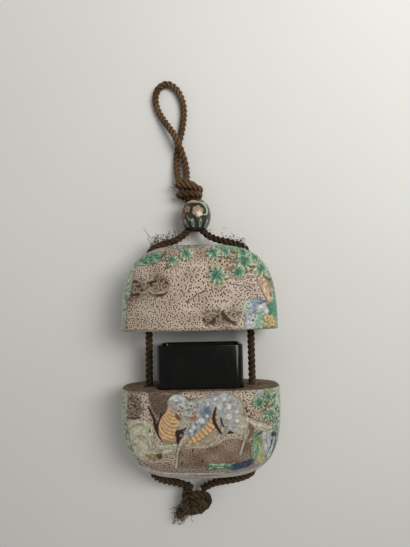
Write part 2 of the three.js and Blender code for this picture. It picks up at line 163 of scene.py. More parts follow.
def set_camera():
    """The camera, over the case and turned a little with it."""
    data = bpy.data.cameras.new("camera")
    data.lens = LENS
    data.clip_start, data.clip_end = 0.005, 10
    camera = bpy.data.objects.new("camera", data)
    bpy.context.scene.collection.objects.link(camera)
    tilt, roll = math.radians(CAMERA_TILT), math.radians(CAMERA_ROLL)
    back = Vector((0, -math.sin(tilt), math.cos(tilt)))
    across, up = Vector((1, 0, 0)), Vector((0, math.cos(tilt), math.sin(tilt)))
    right = across * math.cos(roll) - up * math.sin(roll)
    top = across * math.sin(roll) + up * math.cos(roll)
    turned = Matrix((right, top, back)).transposed().to_4x4()
    camera.matrix_world = Matrix.Translation(Vector(CAMERA_AT) * MM) @ turned
    bpy.context.scene.camera = camera


def set_light(name, at, aim, size, power, tint):
    """A soft square lamp that looks at a place."""
    data = bpy.data.lights.new(name, "AREA")
    data.size = size
    data.energy = power
    data.color = colour(tint)[:3]
    lamp = bpy.data.objects.new(name, data)
    lamp.location = at
    lamp.rotation_mode = "QUATERNION"
    lamp.rotation_quaternion = (Vector(aim) - Vector(at)).to_track_quat("-Z", "Y")
    bpy.context.scene.collection.objects.link(lamp)


def set_stage():
    """A dim, even room, a large window on one side and a matt board under the case."""
    scene = bpy.context.scene
    scene.view_settings.view_transform = "Standard"
    world = bpy.data.worlds.new("soft room light")
    world.use_nodes = True
    world.node_tree.nodes["Background"].inputs["Color"].default_value = colour("#eae9e7")
    world.node_tree.nodes["Background"].inputs["Strength"].default_value = 0.42
    scene.world = world
    set_light("window", (0.277, 0.173, 0.451), (0.1, 0.58, 0), 0.34, 2.95, "#fffdf8")
    corners = [(x * FLOOR_REACH, y * FLOOR_REACH, 0) for x, y in ((-1, -1), (1, -1), (1, 1), (-1, 1))]
    floor = mesh_piece("floor", corners, [(0, 1, 2, 3)], matt_board())
    floor.location.z = -FLOOR_GAP


# ---- Materials ----


def add(tree, kind, links=None, stops=(), **settings):
    """A node of that kind, with a ramp's stops. An input takes a value, an output, or a node for its first
    output."""
    node = tree.nodes.new("ShaderNode" + kind)
    for name, value in settings.items():
        setattr(node, name, value)
    for socket, value in (links or {}).items():
        if isinstance(value, bpy.types.Node):
            value = value.outputs[0]
        if isinstance(value, bpy.types.NodeSocket):
            tree.links.new(value, node.inputs[socket])
        else:
            node.inputs[socket].default_value = value
    for number, (position, tint) in enumerate(stops):
        ramp = node.color_ramp.elements
        stop = ramp[number] if number < len(ramp) else ramp.new(position)
        stop.position, stop.color = position, colour(tint)
    return node


def new_material(name, **constants):
    """An empty material, its node tree and its surface shader, whose constants are set on its own sockets."""
    material = bpy.data.materials.new(name)
    material.use_nodes = True
    surface = material.node_tree.nodes["Principled BSDF"]
    for socket, value in constants.items():
        surface.inputs[socket.replace("_", " ")].default_value = value
    return material, material.node_tree, surface


def stretched(noise, low, high):
    """The inputs that stretch the middle of a noise's range to these values."""
    return {"Value": noise, "From Min": 0.3, "From Max": 0.7, "To Min": low, "To Max": high}


def dress(tree, surface, tint, shine=None, bumps=None, depth=0.1, strength=1.0):
    """Gives the surface its colour, its roughness and bumps that are so many millimetres deep."""
    tree.links.new(tint.outputs[0], surface.inputs["Base Color"])
    if shine:
        tree.links.new(shine.outputs[0], surface.inputs["Roughness"])
    if bumps:
        bump = add(tree, "Bump", {"Height": bumps, "Distance": depth * MM, "Strength": strength})
        tree.links.new(bump.outputs["Normal"], surface.inputs["Normal"])


def matt_board():
    """Matt white board, rolled and unprinted: no gloss, and only a faint mottle."""
    material, tree, surface = new_material("matt_board", Roughness=0.9, Specular_IOR_Level=0.2)
    place = add(tree, "TexCoord").outputs["Object"]
    mottle = add(tree, "TexNoise", {"Vector": place, "Scale": 6.0, "Detail": 3.0})
    dress(tree, surface, add(tree, "ValToRGB", {"Fac": mottle}, [(0.3, "#dadad7"), (0.7, "#e0e0dd")]))
    return material


def punched_ground(tree, enamel, cover, shine, height):
    """Colour, roughness and height, with the bare ground and the spotted hide where no enamel lies."""
    plan = add(tree, "Attribute", attribute_name="plan").outputs["Vector"]
    soil, coarse, dapple = (
        add(tree, "Attribute", attribute_name=name).outputs["Fac"] for name in ("soil", "coarse", "dapple")
    )
    long_plan = add(tree, "Mapping", {"Vector": plan, "Scale": (1, 0.7, 1)})
    pits, long_pits, spots = (
        add(tree, "TexVoronoi", {"Vector": vector, "Scale": 1 / pitch}, voronoi_dimensions="2D")
        for vector, pitch in ((plan, PIT), (long_plan, LONG_PIT), (plan, HIDE_SPOT))
    )
    pit = add(tree, "Mix", {"Factor": coarse, "A": pits, "B": long_pits}, data_type="FLOAT")
    glaze = add(tree, "ValToRGB", {"Fac": pit}, [
        (0.1, "#4c3a2d"), (0.24, "#826e5f"), (0.34, "#bba898"), (0.45, "#d8c8b8"), (0.75, "#b5a191"),
    ])
    cloudy = add(tree, "TexNoise", {"Vector": plan, "Scale": 0.16, "Detail": 3.0})
    dust = add(tree, "Math", {0: cloudy, 1: 0.5, 2: -0.2}, operation="MULTIPLY_ADD", use_clamp=True)
    # Dust, earth and the painted shade of the hollows darken the bare ground.
    dust_soil_and_shade = add(tree, "Math", {0: dust, 1: soil}, operation="ADD", use_clamp=True)
    ground = add(
        tree, "MixRGB", {"Fac": dust_soil_and_shade, "Color1": glaze, "Color2": colour("#a08c78")}, blend_type="MULTIPLY",
    )
    hide = add(tree, "ValToRGB", {"Fac": spots}, [
        (0.0, "#b9bcba"), (0.2, "#b4b7b4"), (0.34, "#98a0a4"), (0.5, "#aaa9a4"), (0.8, "#97928b"),
    ])
    dressed = add(tree, "MixRGB", {"Fac": dapple, "Color1": enamel, "Color2": hide})
    domed = add(
        tree, "MapRange", {"Value": pit, "From Min": 0.08, "From Max": 0.42, "To Min": 0.0, "To Max": 1.0},
        interpolation_type="SMOOTHSTEP",
    )
    return (
        add(tree, "MixRGB", {"Fac": cover, "Color1": ground, "Color2": dressed}),
        add(tree, "Mix", {"Factor": cover, "A": 0.46, "B": shine}, data_type="FLOAT"),
        add(tree, "Mix", {"Factor": cover, "A": domed, "B": height}, data_type="FLOAT"),
    )


def fired_enamel(name="fired_enamel", punched=True):
    """Porcelain carved by hand and painted with coloured enamels before its last firing. The bare ground is
    punched all over with small dark pits, which makes it look like leather. The enamels lie over it thick and
    glossy."""
    material, tree, surface = new_material(name, IOR=1.5)
    painted = add(tree, "Attribute", attribute_name="enamel")
    place = add(tree, "TexCoord").outputs["Object"]
    runs = add(tree, "TexNoise", {"Vector": place, "Scale": 900.0, "Detail": 2.0})
    pooled = add(tree, "MapRange", stretched(runs, 0.68, 1.24))
    enamel = add(tree, "VectorMath", {0: painted, "Scale": pooled}, operation="SCALE")
    layers = enamel, add(tree, "MapRange", stretched(runs, 0.16, 0.3)), runs
    if punched:
        layers = punched_ground(tree, layers[0], painted.outputs["Alpha"], *layers[1:])
    dress(tree, surface, *layers, 0.16, 0.9)
    return material


def bare_clay():
    """Unglazed clay, scraped flat on the rims and hollowed by hand inside: dry, brown, gritty and darker
    where damp and handling have stained it."""
    material, tree, surface = new_material("bare_clay", IOR=1.45, Roughness=0.85)
    place = add(tree, "TexCoord").outputs["Object"]
    stain = add(tree, "TexNoise", {"Vector": place, "Scale": 260.0, "Detail": 6.0, "Roughness": 0.7})
    grit = add(tree, "TexNoise", {"Vector": place, "Scale": 2500.0, "Detail": 3.0})
    tint = add(tree, "ValToRGB", {"Fac": stain}, [(0.3, "#4b3824"), (0.5, "#755f47"), (0.7, "#917d64")])
    dress(tree, surface, tint, None, grit)
    return material


def black_lacquer():
    """Black lacquer over thin wood, rubbed smooth with charcoal: soft gloss, faint rubbing marks along it and
    a brown cast where it has worn thin."""
    material, tree, surface = new_material("black_lacquer", IOR=1.52, Specular_IOR_Level=0.22)
    place = add(tree, "TexCoord").outputs["Object"]
    along = add(tree, "Mapping", {"Vector": place, "Scale": (1, 0.08, 1)})
    marks = add(tree, "TexNoise", {"Vector": along, "Scale": 3000.0, "Detail": 3.0})
    worn = add(tree, "TexNoise", {"Vector": place, "Scale": 180.0, "Detail": 5.0})
    tint = add(tree, "ValToRGB", {"Fac": worn}, [(0.42, "#040504"), (0.72, "#0e0d0a")])
    dress(tree, surface, tint, add(tree, "MapRange", stretched(marks, 0.1, 0.2)), marks, 0.02)
    return material


def twisted_silk(name, shadow, body, light):
    """Three-strand silk cord, hand-laid: fine filaments run slantwise along each strand and catch the light
    on its back, and the grooves between the strands are darkened nearly to black as painted shade."""
    material, tree, surface = new_material(
        name, IOR=1.5, Roughness=0.7, Specular_IOR_Level=0.3, Sheen_Weight=0.08, Sheen_Roughness=0.4,
    )
    thread = add(tree, "Attribute", attribute_name="thread").outputs["Vector"]
    apart = add(tree, "SeparateXYZ", {"Vector": thread}).outputs
    slant = add(tree, "Math", {0: apart["X"], 1: 0.55, 2: apart["Y"]}, operation="MULTIPLY_ADD")
    fine = add(tree, "CombineXYZ", {"X": slant, "Y": apart["Z"]})
    # Filaments are 0.02 mm thick; they are drawn in bundles of 0.3 mm, so that they show.
    filaments = add(tree, "TexNoise", {"Vector": fine, "Scale": 3.3, "Detail": 3.0})
    fading = add(tree, "TexNoise", {"Vector": thread, "Scale": 0.12, "Detail": 3.0})
    lit = add(tree, "Math", {0: fading, 1: 0.7, 2: -0.35}, operation="MULTIPLY_ADD")
    share = add(tree, "Math", {0: filaments, 1: lit}, operation="ADD")
    tint = add(tree, "ValToRGB", {"Fac": share}, [(0.28, shadow), (0.5, body), (0.74, light)])
    # Painted shade: the colour darkens towards the grooves between the strands.
    groove = add(
        tree, "MapRange",
        {"Value": apart["Z"], "From Min": 0.55, "From Max": 0.9, "To Min": 0.3, "To Max": 1.0},
        interpolation_type="SMOOTHSTEP",
    )
    laid = add(tree, "VectorMath", {0: tint, "Scale": groove}, operation="SCALE")
    dress(tree, surface, laid, None, filaments, 0.14)
    return material


def loose_silk():
    """Broken silk filaments that have come out of the lay: dull, pale brown, uneven along their length."""
    material, tree, surface = new_material("loose_silk", IOR=1.5, Roughness=0.8)
    place = add(tree, "TexCoord").outputs["Object"]
    patchy = add(tree, "TexNoise", {"Vector": place, "Scale": 500.0, "Detail": 2.0})
    dress(tree, surface, add(tree, "ValToRGB", {"Fac": patchy}, [(0.35, "#3b281b"), (0.65, "#6f543d")]))
    return material


def bead_glaze():
    """Dark porcelain glaze with thick flowers in coloured enamels: deep, glassy, mottled black and green."""
    material, tree, surface = new_material("bead_glaze", IOR=1.5, Coat_Weight=0.4, Coat_Roughness=0.08)
    painted = add(tree, "Attribute", attribute_name="enamel")
    place = add(tree, "TexCoord").outputs["Object"]
    mottle = add(tree, "TexNoise", {"Vector": place, "Scale": 420.0, "Detail": 3.0})
    dark = add(tree, "ValToRGB", {"Fac": mottle}, [(0.36, "#15140c"), (0.55, "#2a2e1e"), (0.72, "#3b4a34")])
    tint = add(tree, "MixRGB", {"Fac": painted.outputs["Alpha"], "Color1": dark, "Color2": painted})
    dress(tree, surface, tint, add(tree, "MapRange", stretched(mottle, 0.14, 0.34)), mottle, 0.08)
    return material


ENAMEL = fired_enamel()
LEAF_ENAMEL = fired_enamel("leaf_enamel", punched=False)
CLAY = bare_clay()
LACQUER = black_lacquer()
SILK = twisted_silk("twisted_silk", "#1a1107", "#3e2d15", "#5f4a2a")
FADED_SILK = twisted_silk("faded_twisted_silk", "#32210f", "#624728", "#866846")
LOOSE_SILK = loose_silk()
BEAD_GLAZE = bead_glaze()


# ---- Meshes ----


def mesh_piece(name, places, faces, material, sharp_over=None):
    """A mesh object from points in millimetres, with one material or a list of them."""
    mesh = bpy.data.meshes.new(name)
    mesh.from_pydata((np.asarray(places, float) * MM).tolist(), [], [list(map(int, face)) for face in faces])
    turned = bmesh.new()
    turned.from_mesh(mesh)
    bmesh.ops.recalc_face_normals(turned, faces=turned.faces)
    turned.to_mesh(mesh)
    turned.free()
    mesh.shade_smooth()
    if sharp_over:
        mesh.set_sharp_from_angle(angle=math.radians(sharp_over))
    piece = bpy.data.objects.new(name, mesh)
    for one in material if isinstance(material, list) else [material]:
        mesh.materials.append(one)
    bpy.context.scene.collection.objects.link(piece)
    return piece


# ---- The case's form ----


def smooth_line(stops, step, dims=2):
    """A smooth line through the stops, as points a step apart. Columns past the first dims go with it."""
    stops = np.asarray(stops, float)
    ends = np.vstack([2 * stops[0] - stops[1], stops, 2 * stops[-1] - stops[-2]])
    knots = np.concatenate(
        [[0], np.cumsum(np.linalg.norm(np.diff(ends[:, :dims], axis=0), axis=1) ** 0.5 + 1e-6)]
    )
    fine = []
    for i in range(1, len(ends) - 2):
        t = np.linspace(knots[i], knots[i + 1], 13)[:-1, None]
        mix = lambda a, b, ta, tb: (tb - t) / (tb - ta) * a + (t - ta) / (tb - ta) * b
        k, p = knots[i - 1:i + 3], ends[i - 1:i + 3]
        near = [mix(p[j], p[j + 1], k[j], k[j + 1]) for j in range(3)]
        far = [mix(near[j], near[j + 1], k[j], k[j + 2]) for j in range(2)]
        fine.append(mix(far[0], far[1], k[1], k[2]))
    fine = np.vstack(fine + [stops[-1:]])
    along = np.concatenate([[0], np.cumsum(np.linalg.norm(np.diff(fine[:, :dims], axis=0), axis=1))])
    places = np.linspace(0, along[-1], max(2, round(along[-1] / step) + 1))
    return np.column_stack([np.interp(places, along, column) for column in fine.T])


def evenly(curve, places):
    """Points of a curve at these shares of its length."""
    along = np.concatenate([[0], np.cumsum(np.linalg.norm(np.diff(curve, axis=0), axis=1))])
    return np.column_stack([np.interp(np.asarray(places) * along[-1], along, column) for column in curve.T])


def quarter(power, count=400):
    """A quarter of the curve |x|^power + |y|^power = 1, from (1, 0) to (0, 1)."""
    angle = np.linspace(0, math.pi / 2, count)
    return np.column_stack([np.cos(angle) ** (2 / power), np.sin(angle) ** (2 / power)])


def section_ring():
    """Points round the case's section, closer together over the carved front than over the back."""
    curve = quarter(SECTION_POWER) * [HALF_WIDTH, HALF_THICKNESS]
    front = evenly(curve, np.linspace(0, 1, FRONT_COLUMNS // 2 + 1))
    back = evenly(curve, np.linspace(0, 1, BACK_COLUMNS // 2 + 1))
    left = [front[::-1][:-1] * [-1, 1], back[:-1] * [-1, -1]]
    return np.vstack([front[:-1], *left, back[::-1][:-1] * [1, -1]])


def outline_rows(power):
    """(the section's scale, distance from the rim) for each row, from the rim's rounded edge to the crown."""
    edge = [(1 - RIM_ROUND * (1 - math.sin(a)) / HALF_WIDTH,
             RIM_ROUND * (1 - math.cos(a))) for a in (0, 0.5, 1)]
    shares = np.concatenate(
        [np.linspace(0, CROWN_FROM, WALL_ROWS)[:-1], np.linspace(CROWN_FROM, 1, CROWN_ROWS)]
    )
    rows = evenly(quarter(power) * [HALF_WIDTH, HALF_LENGTH], shares)
    return edge + [(scale / HALF_WIDTH, along) for scale, along in rows if along > RIM_ROUND]


class Half:
    """The outside of the lid or the lower case: a squarish section that narrows along a squarish curve."""

    def __init__(self, node):
        self.node = node
        self.side = SIDE[node]
        self.power = OUTLINE_POWER[node]

    def level(self, x, y, z):
        """Below 1 inside the form, 1 on its surface and above 1 outside."""
        along = np.maximum(0, (self.side * y - RIM_Y) / HALF_LENGTH)
        across, through = np.abs(x / HALF_WIDTH), np.abs((z - MIDDLE_Z) / HALF_THICKNESS)
        section = across ** SECTION_POWER + through ** SECTION_POWER
        return section ** (self.power / SECTION_POWER) + along ** self.power

    def out(self, places):
        """The way out of the surface at each place."""
        x, y, z = places.T
        step = 0.05
        way = np.column_stack([
            self.level(x + step, y, z) - self.level(x - step, y, z),
            self.level(x, y + step, z) - self.level(x, y - step, z),
            self.level(x, y, z + step) - self.level(x, y, z - step),
        ])
        return way / np.maximum(1e-9, np.linalg.norm(way, axis=1))[:, None]

    def front(self, x, y, facing=1):
        """Places on the front, or on the back with facing -1, straight over these points of the plan."""
        along = np.clip((self.side * y - RIM_Y) / HALF_LENGTH, 0, 0.999)
        across = np.abs(x / HALF_WIDTH) ** SECTION_POWER
        section = (1 - along ** self.power) ** (SECTION_POWER / self.power) - across
        z = MIDDLE_Z + facing * HALF_THICKNESS * np.maximum(section, 0) ** (1 / SECTION_POWER)
        return np.column_stack([x, y, np.maximum(0, z)])

    def grid(self):
        """Places on the whole outside, row by row from the rim, and the crown's last point."""
        ring = section_ring()
        rows = outline_rows(self.power)[:-1]
        places = np.array([
            (x * scale, self.side * (RIM_Y + along), max(0, MIDDLE_Z + z * scale))
            for scale, along in rows for x, z in ring
        ])
        return places, len(ring), len(rows)


# ---- Glaze: what is laid on the case's points ----


def soft(depth, edge=0.25):
    """A share that rises from 0 to 1 as depth goes through 0, over an edge in millimetres."""
    share = np.clip(depth / edge + 0.5, 0, 1)
    return share * share * (3 - 2 * share)


def inside_line(x, y, stops, step=0.6):
    """How deep each point lies inside a line whose stops are (x, y, half width), and how far along it."""
    line = smooth_line(stops, step)
    widest = line[:, 2].max() + 1.5
    depth, along = np.full(len(x), -9.0), np.zeros(len(x))
    near = ((x > line[:, 0].min() - widest) & (x < line[:, 0].max() + widest)
            & (y > line[:, 1].min() - widest) & (y < line[:, 1].max() + widest))
    px, py = x[near], y[near]
    best, place = np.full(len(px), -9.0), np.zeros(len(px))
    for i in range(len(line) - 1):
        (x0, y0, r0), (x1, y1, r1) = line[i, :3], line[i + 1, :3]
        dx, dy = x1 - x0, y1 - y0
        t = np.clip(((px - x0) * dx + (py - y0) * dy) / max(1e-9, dx * dx + dy * dy), 0, 1)
        here = r0 + t * (r1 - r0) - np.hypot(px - x0 - t * dx, py - y0 - t * dy)
        closer = here > best
        best[closer], place[closer] = here[closer], (i + t[closer]) / (len(line) - 1)
    depth[near], along[near] = best, place
    return depth, along


def inside_patch(x, y, corners):
    """How deep in millimetres each point lies inside a smooth closed outline through the corners."""
    outline = smooth_line(list(corners) + [corners[0]], 0.8)
    depth, inside = np.full(len(x), 9.0), np.zeros(len(x), bool)
    for (x0, y0), (x1, y1) in zip(outline[:-1], outline[1:]):
        dx, dy = x1 - x0, y1 - y0
        t = np.clip(((x - x0) * dx + (y - y0) * dy) / max(1e-9, dx * dx + dy * dy), 0, 1)
        depth = np.minimum(depth, np.hypot(x - x0 - t * dx, y - y0 - t * dy))
        crosses = (y0 > y) != (y1 > y)
        inside ^= crosses & (x < x0 + (y - y0) * dx / np.where(dy == 0, 1e-9, dy))
    return np.where(inside, depth, -depth)


def ripple(x, y, scale, seed=0):
    """Smooth noise from -1 to 1, with hills about scale millimetres apart."""
    random = np.random.default_rng(seed)
    total = np.zeros(len(x))
    for _ in range(7):
        angle, phase, stretch = random.uniform(0, 2 * math.pi, 2).tolist() + [random.uniform(0.7, 1.5)]
        total += np.sin((x * math.cos(angle) + y * math.sin(angle)) * 2 * math.pi * stretch / scale + phase)
    return total / 4


class Glaze:
    """Colour, cover, height and kind of ground at each of a set of places."""

    def __init__(self, places):
        self.x, y, z = places.T
        down = np.maximum(0, EDGE_Z - z)
        beyond = z < BACK_Z
        end = np.clip((np.abs(y) - CROWN_Y) / CROWN_BLEND + 1, 0, 1) * ~beyond
        self.u = np.where(beyond, BACK_U - self.x, self.x + np.sign(self.x) * down * (1 - end))
        self.y = y + np.sign(y) * down * end
        self.plan = np.column_stack(
            [np.where(beyond, self.u, self.x + np.sign(self.x) * down * (end < 1)),
             y + np.sign(y) * down * (end == 1), 0 * z]
        )
        self.colour = np.zeros((len(z), 3))
        self.cover, self.height, self.soil, self.coarse, self.dapple = np.zeros((5, len(z)))

    def lay(self, share, hex_code, cover=1.0):
        """Lays a coloured enamel where share is 1."""
        share = share * cover
        self.colour += (np.array(colour(hex_code)[:3]) - self.colour) * share[:, None]
        self.cover = np.maximum(self.cover * (1 - share), 0) + share
        self.dapple *= 1 - share

    def raise_to(self, top, blend=0.25):
        """Lifts the clay to this height, running smoothly into what stands there already."""
        self.height = (self.height + top + np.sqrt((self.height - top) ** 2 + blend ** 2) - blend) / 2

    def line(self, stops, tint=None, top=0.4, cover=1.0, edge=0.25):
        """A raised and coloured line, whose stops are (x, y, half width). The depth inside it comes back."""
        depth, along = inside_line(self.u, self.y, stops)
        widest = max(stop[2] for stop in stops)
        rise = np.sqrt(np.clip(1 - (1 - np.clip(depth / widest, 0, 1)) ** 2, 0, 1))
        self.raise_to(top * rise)
        if tint:
            self.lay(soft(depth, edge), tint, cover)
        return depth, along

    def in_patch(self, corners):
        """How deep each point lies inside a smooth closed outline."""
        return inside_patch(self.u, self.y, corners)

    def in_line(self, stops):
        """How deep each point lies inside a line whose stops are (x, y, half width)."""
        return inside_line(self.u, self.y, stops)[0]

    def ripple(self, scale, seed):
        """Smooth noise from -1 to 1 over the points, with hills about scale millimetres apart."""
        return ripple(self.u, self.y, scale, seed)

    def away(self, x, y):
        """How far each point lies from a place."""
        return np.hypot(self.u - x, self.y - y)


# The enamels, named as a painter would.
INK = "#221b14"
UMBER = "#6b5848"
DARK_UMBER = "#3d2b1f"
CLOUD_BROWN = "#74604e"
CREAM = "#c0b097"
PALE_TAN = "#b8a48f"
WHITE_GLAZE = "#c2c5bf"
TEAL = "#4f8c70"
DEEP_TEAL = "#2f6a54"
SEA_GREEN = "#75957c"
MINT = "#acc0a7"
SEA_FOAM = "#c6bda6"
COBALT = "#485f7c"
COBALT_GREY = "#78878f"
NAVY = "#262c3a"
LILAC = "#a09da3"
LIME = "#8c955c"
OCHRE = "#8f7145"
YELLOW = "#c4ae79"
PEACH = "#cbab88"
HIDE = "#a8a8a3"
# Near-black red-brown, laid in the deep undercuts as painted shade.
UNDERCUT_SHADE = "#33170b"
ORANGE = "#d6ac7c"
# The painted shade of the rounded orange bands.
SHADED_ORANGE = "#8d6038"
LEAF_RIM = "#c6caa4"

# The modelled maple leaves, each (x, y, size), on the front or on the back of a half.
LID_LEAVES = [
    (-9.9, 37.9, 2.8), (-4.5, 40.2, 3.2), (5.8, 40.5, 3.6), (7, 31.7, 4.5), (10.6, 40.6, 2.4),
    (17.5, 37.1, 4.0), (17.2, 40.4, 3.0), (15.1, 32.6, 3.3), (24, 34.2, 3.6), (21.8, 38.4, 2.6),
]
LID_BACK_LEAVES = [(23.5, 28.4, 3.6), (-23.5, 25, 3.8), (24, 18.5, 3.2)]
LOWER_LEAVES = [(21.4, -15.4, 3), (25.6, -19.6, 2.6), (24.8, -13.6, 2.2)]
LOWER_BACK_LEAVES = [(-23.5, -25, 3.4), (23.5, -20, 3.8)]


# ---- The carved and glazed case ----


CURL_TURNS = 1.3


def marbled(glaze, depth, tints, grain, seed, rise=0.3, edge=0.4):
    """Enamels that ran into each other where depth is above 0: the first all over, the others in streaks."""
    share = soft(depth + 0.35 * glaze.ripple(2.2, seed), edge)
    glaze.raise_to(rise * share)
    glaze.lay(share, tints[0])
    for number, tint in enumerate(tints[1:], 1):
        streak = np.clip(1.7 * glaze.ripple(grain, seed + number) - 0.2, 0, 1)
        glaze.lay(share * streak, tint, 0.85)
    glaze.height += 0.14 * share * glaze.ripple(grain, seed + 1)
    return share


def curl(glaze, middle, size, turn, hand):
    """A curl of cloud that winds in on itself: a dark groove and the pale ridge that stands beside it."""
    share = np.linspace(0, 1, 10)
    angle = turn + hand * 2 * math.pi * CURL_TURNS * share
    reach = size * (1 - 0.8 * share)
    for tint, wide, shift, height in ((DARK_UMBER, 0.27, 0, 0.2), (PALE_TAN, 0.13, 0.55, 0.75)):
        glaze.line(np.column_stack([middle[0] + reach * np.cos(angle + hand * shift),
                                    middle[1] + reach * np.sin(angle + hand * shift),
                                    size * wide * (1 - 0.4 * share)]), tint, height, 0.95, 0.3)


def cloud(glaze, patch, curls, dark_lines, pale_lines):
    """A brown cloud: a stained and broken bank with deep grooves, pale ridges and curls."""
    depth = glaze.in_patch(patch) + 0.7 * glaze.ripple(2.4, 3)
    stain = soft(depth, 1.2)
    glaze.raise_to(0.5 * stain)
    glaze.lay(stain, CLOUD_BROWN, 0.85)
    glaze.lay(stain * np.clip(2.2 * glaze.ripple(1.7, 5) - 0.1, 0, 1), DARK_UMBER, 0.9)
    glaze.lay(stain * np.clip(2.2 * glaze.ripple(1.4, 6) - 0.5, 0, 1), PALE_TAN, 0.75)
    glaze.height += 0.24 * stain * glaze.ripple(1.5, 7)
    for stops in dark_lines:
        glaze.line(stops, DARK_UMBER, 0.15, 0.95, 0.3)
    for stops in pale_lines:
        glaze.line(stops, PALE_TAN, 1.0, 0.85, 0.3)
    for one in curls:
        curl(glaze, *one)


def rock(glaze, parts):
    """Rocks in blue, white and green glazes that ran into each other, with dark cracks between."""
    for number, (corners, tints, top) in enumerate(parts):
        depth = glaze.in_patch(corners)
        glaze.lay(soft(depth + 0.5, 0.8), INK, 0.35)
        marbled(glaze, depth + 0.3, tints, 2.0, 50 + 5 * number, top, 1.1)


def leaflets(glaze, patch, seed, tints, size, count):
    """Small leaves strewn over a patch, each with its painted shadow and a pale vein that also stands as a
    painted highlight.
    """
    random = np.random.default_rng(seed)
    corners = np.array(patch)
    spots = random.uniform(corners.min(axis=0), corners.max(axis=0), (count * 5, 2))
    spots = spots[inside_patch(*spots.T, patch) > 0.2 * size][:count]
    for x, y in spots:
        turn, length = random.uniform(0, math.pi), size * random.uniform(0.6, 1.1)
        dx, dy = length * math.cos(turn) / 2, length * math.sin(turn) / 2
        wide = size * random.uniform(0.14, 0.24)
        blade = [(x - dx, y - dy, 0.1), (x, y, wide), (x + dx, y + dy, 0.1)]
        # Painted shadow, set below and to the right of the leaflet.
        glaze.line([(a + 0.1, b - 0.25, c + 0.12) for a, b, c in blade], INK, 0.15, 0.75, 0.3)
        glaze.line(blade, tints[random.integers(len(tints))], 0.65, 0.95, 0.25)
        # A pale vein down the middle, standing also as a painted highlight.
        glaze.line([(a * 0.6 + x * 0.4, b * 0.6 + y * 0.4, 0.07) for a, b, _ in blade], MINT, 0.7, 0.7, 0.2)


def strokes(glaze, stops, spread, tints, seed, count, length=1.6, wide=0.24, under=0.45):
    """Short strokes of a loaded brush, laid along a line and over one another, with dark glaze between."""
    random = np.random.default_rng(seed)
    line = smooth_line(stops, 0.4)
    glaze.lay(soft(glaze.in_line([(*stop, spread) for stop in stops]), 0.7), INK, under)
    for _ in range(count):
        place = random.integers(1, len(line) - 1)
        along = line[place + 1, :2] - line[place - 1, :2]
        along = along / np.linalg.norm(along)
        side = np.array([-along[1], along[0]])
        middle = line[place, :2] + side * random.uniform(-spread, spread)
        reach = (along + side * random.uniform(-0.3, 0.3)) * length * random.uniform(0.35, 0.7)
        stroke = [(*(middle - reach), 0.1), (*middle, wide * random.uniform(0.8, 1.4)),
                  (*(middle + reach), 0.1)]
        glaze.line(stroke, tints[random.integers(len(tints))], random.uniform(0.5, 1.0), 0.92, 0.25)


def foliage(glaze, patch, seed, tints, size=1.7, count=14):
    """A bank of leaves in runny greens, pale along its edge, with dark gaps and a few leaves picked out."""
    depth = glaze.in_patch(patch)
    glaze.lay(soft(depth + 0.4, 0.35), INK, 0.6)
    share = marbled(glaze, depth, tints, 1.9, seed, 0.45)
    glaze.lay(soft(0.4 - np.abs(depth - 0.3), 0.3), MINT, 0.7)
    glaze.lay(share * np.clip(2.6 * glaze.ripple(1.3, seed + 8) - 1.3, 0, 1), INK, 0.75)
    leaflets(glaze, patch, seed, tints, size, count)


def flower(glaze, x, y, size, petals, petal, heart, top=0.3):
    """An open flower: petals round a heart of another colour."""
    for k in range(petals):
        angle = 2 * math.pi * k / petals + 0.4
        tip = (x + 0.62 * size * math.cos(angle), y + 0.62 * size * math.sin(angle))
        glaze.line([(x, y, 0.2 * size), (*tip, 0.4 * size)], petal, top, 1.0, 0.3)
    glaze.line([(x - 0.1, y, 0.17 * size), (x + 0.1, y, 0.17 * size)], heart, top + 0.06)


def ground(glaze, node):
    """The punched ground: coarser in the middle of the lid, with dust at the rim; painted shade in the
    hollows darkens it later.
    """
    glaze.height += 0.05 * ripple(glaze.x, glaze.y, 5, 1)
    glaze.soil = np.clip(0.15 + 0.3 * glaze.ripple(11, 2), 0, 1)
    if node == "lid":
        glaze.coarse = soft(1 - np.hypot((glaze.u - 2) / 11, (glaze.y - 27) / 9), 0.5)
    near_rim = np.clip(1.5 - (np.abs(glaze.y) - RIM_Y), 0, 1)
    glaze.lay(near_rim ** 2, DARK_UMBER, 0.4)


def leaf_shadows(glaze, leaves):
    """A painted shadow round each modelled leaf, set a little below it, with ochre berries in it."""
    random = np.random.default_rng(8)
    for x, y, size in leaves:
        away = glaze.away(x + 0.1, y - 0.3)
        # Painted shadow of the leaf, offset downwards.
        glaze.lay(soft(0.8 * size - away, 0.9), INK, 0.75)
        for _ in range(3):
            angle, reach = random.uniform(0, 2 * math.pi), size * random.uniform(0.9, 1.15)
            bx, by = x + reach * math.cos(angle), y + reach * math.sin(angle)
            glaze.line([(bx, by, 0.38), (bx + 0.2, by, 0.38)],
                       random.choice([OCHRE, CREAM, OCHRE, DARK_UMBER]), 0.5, 0.9)


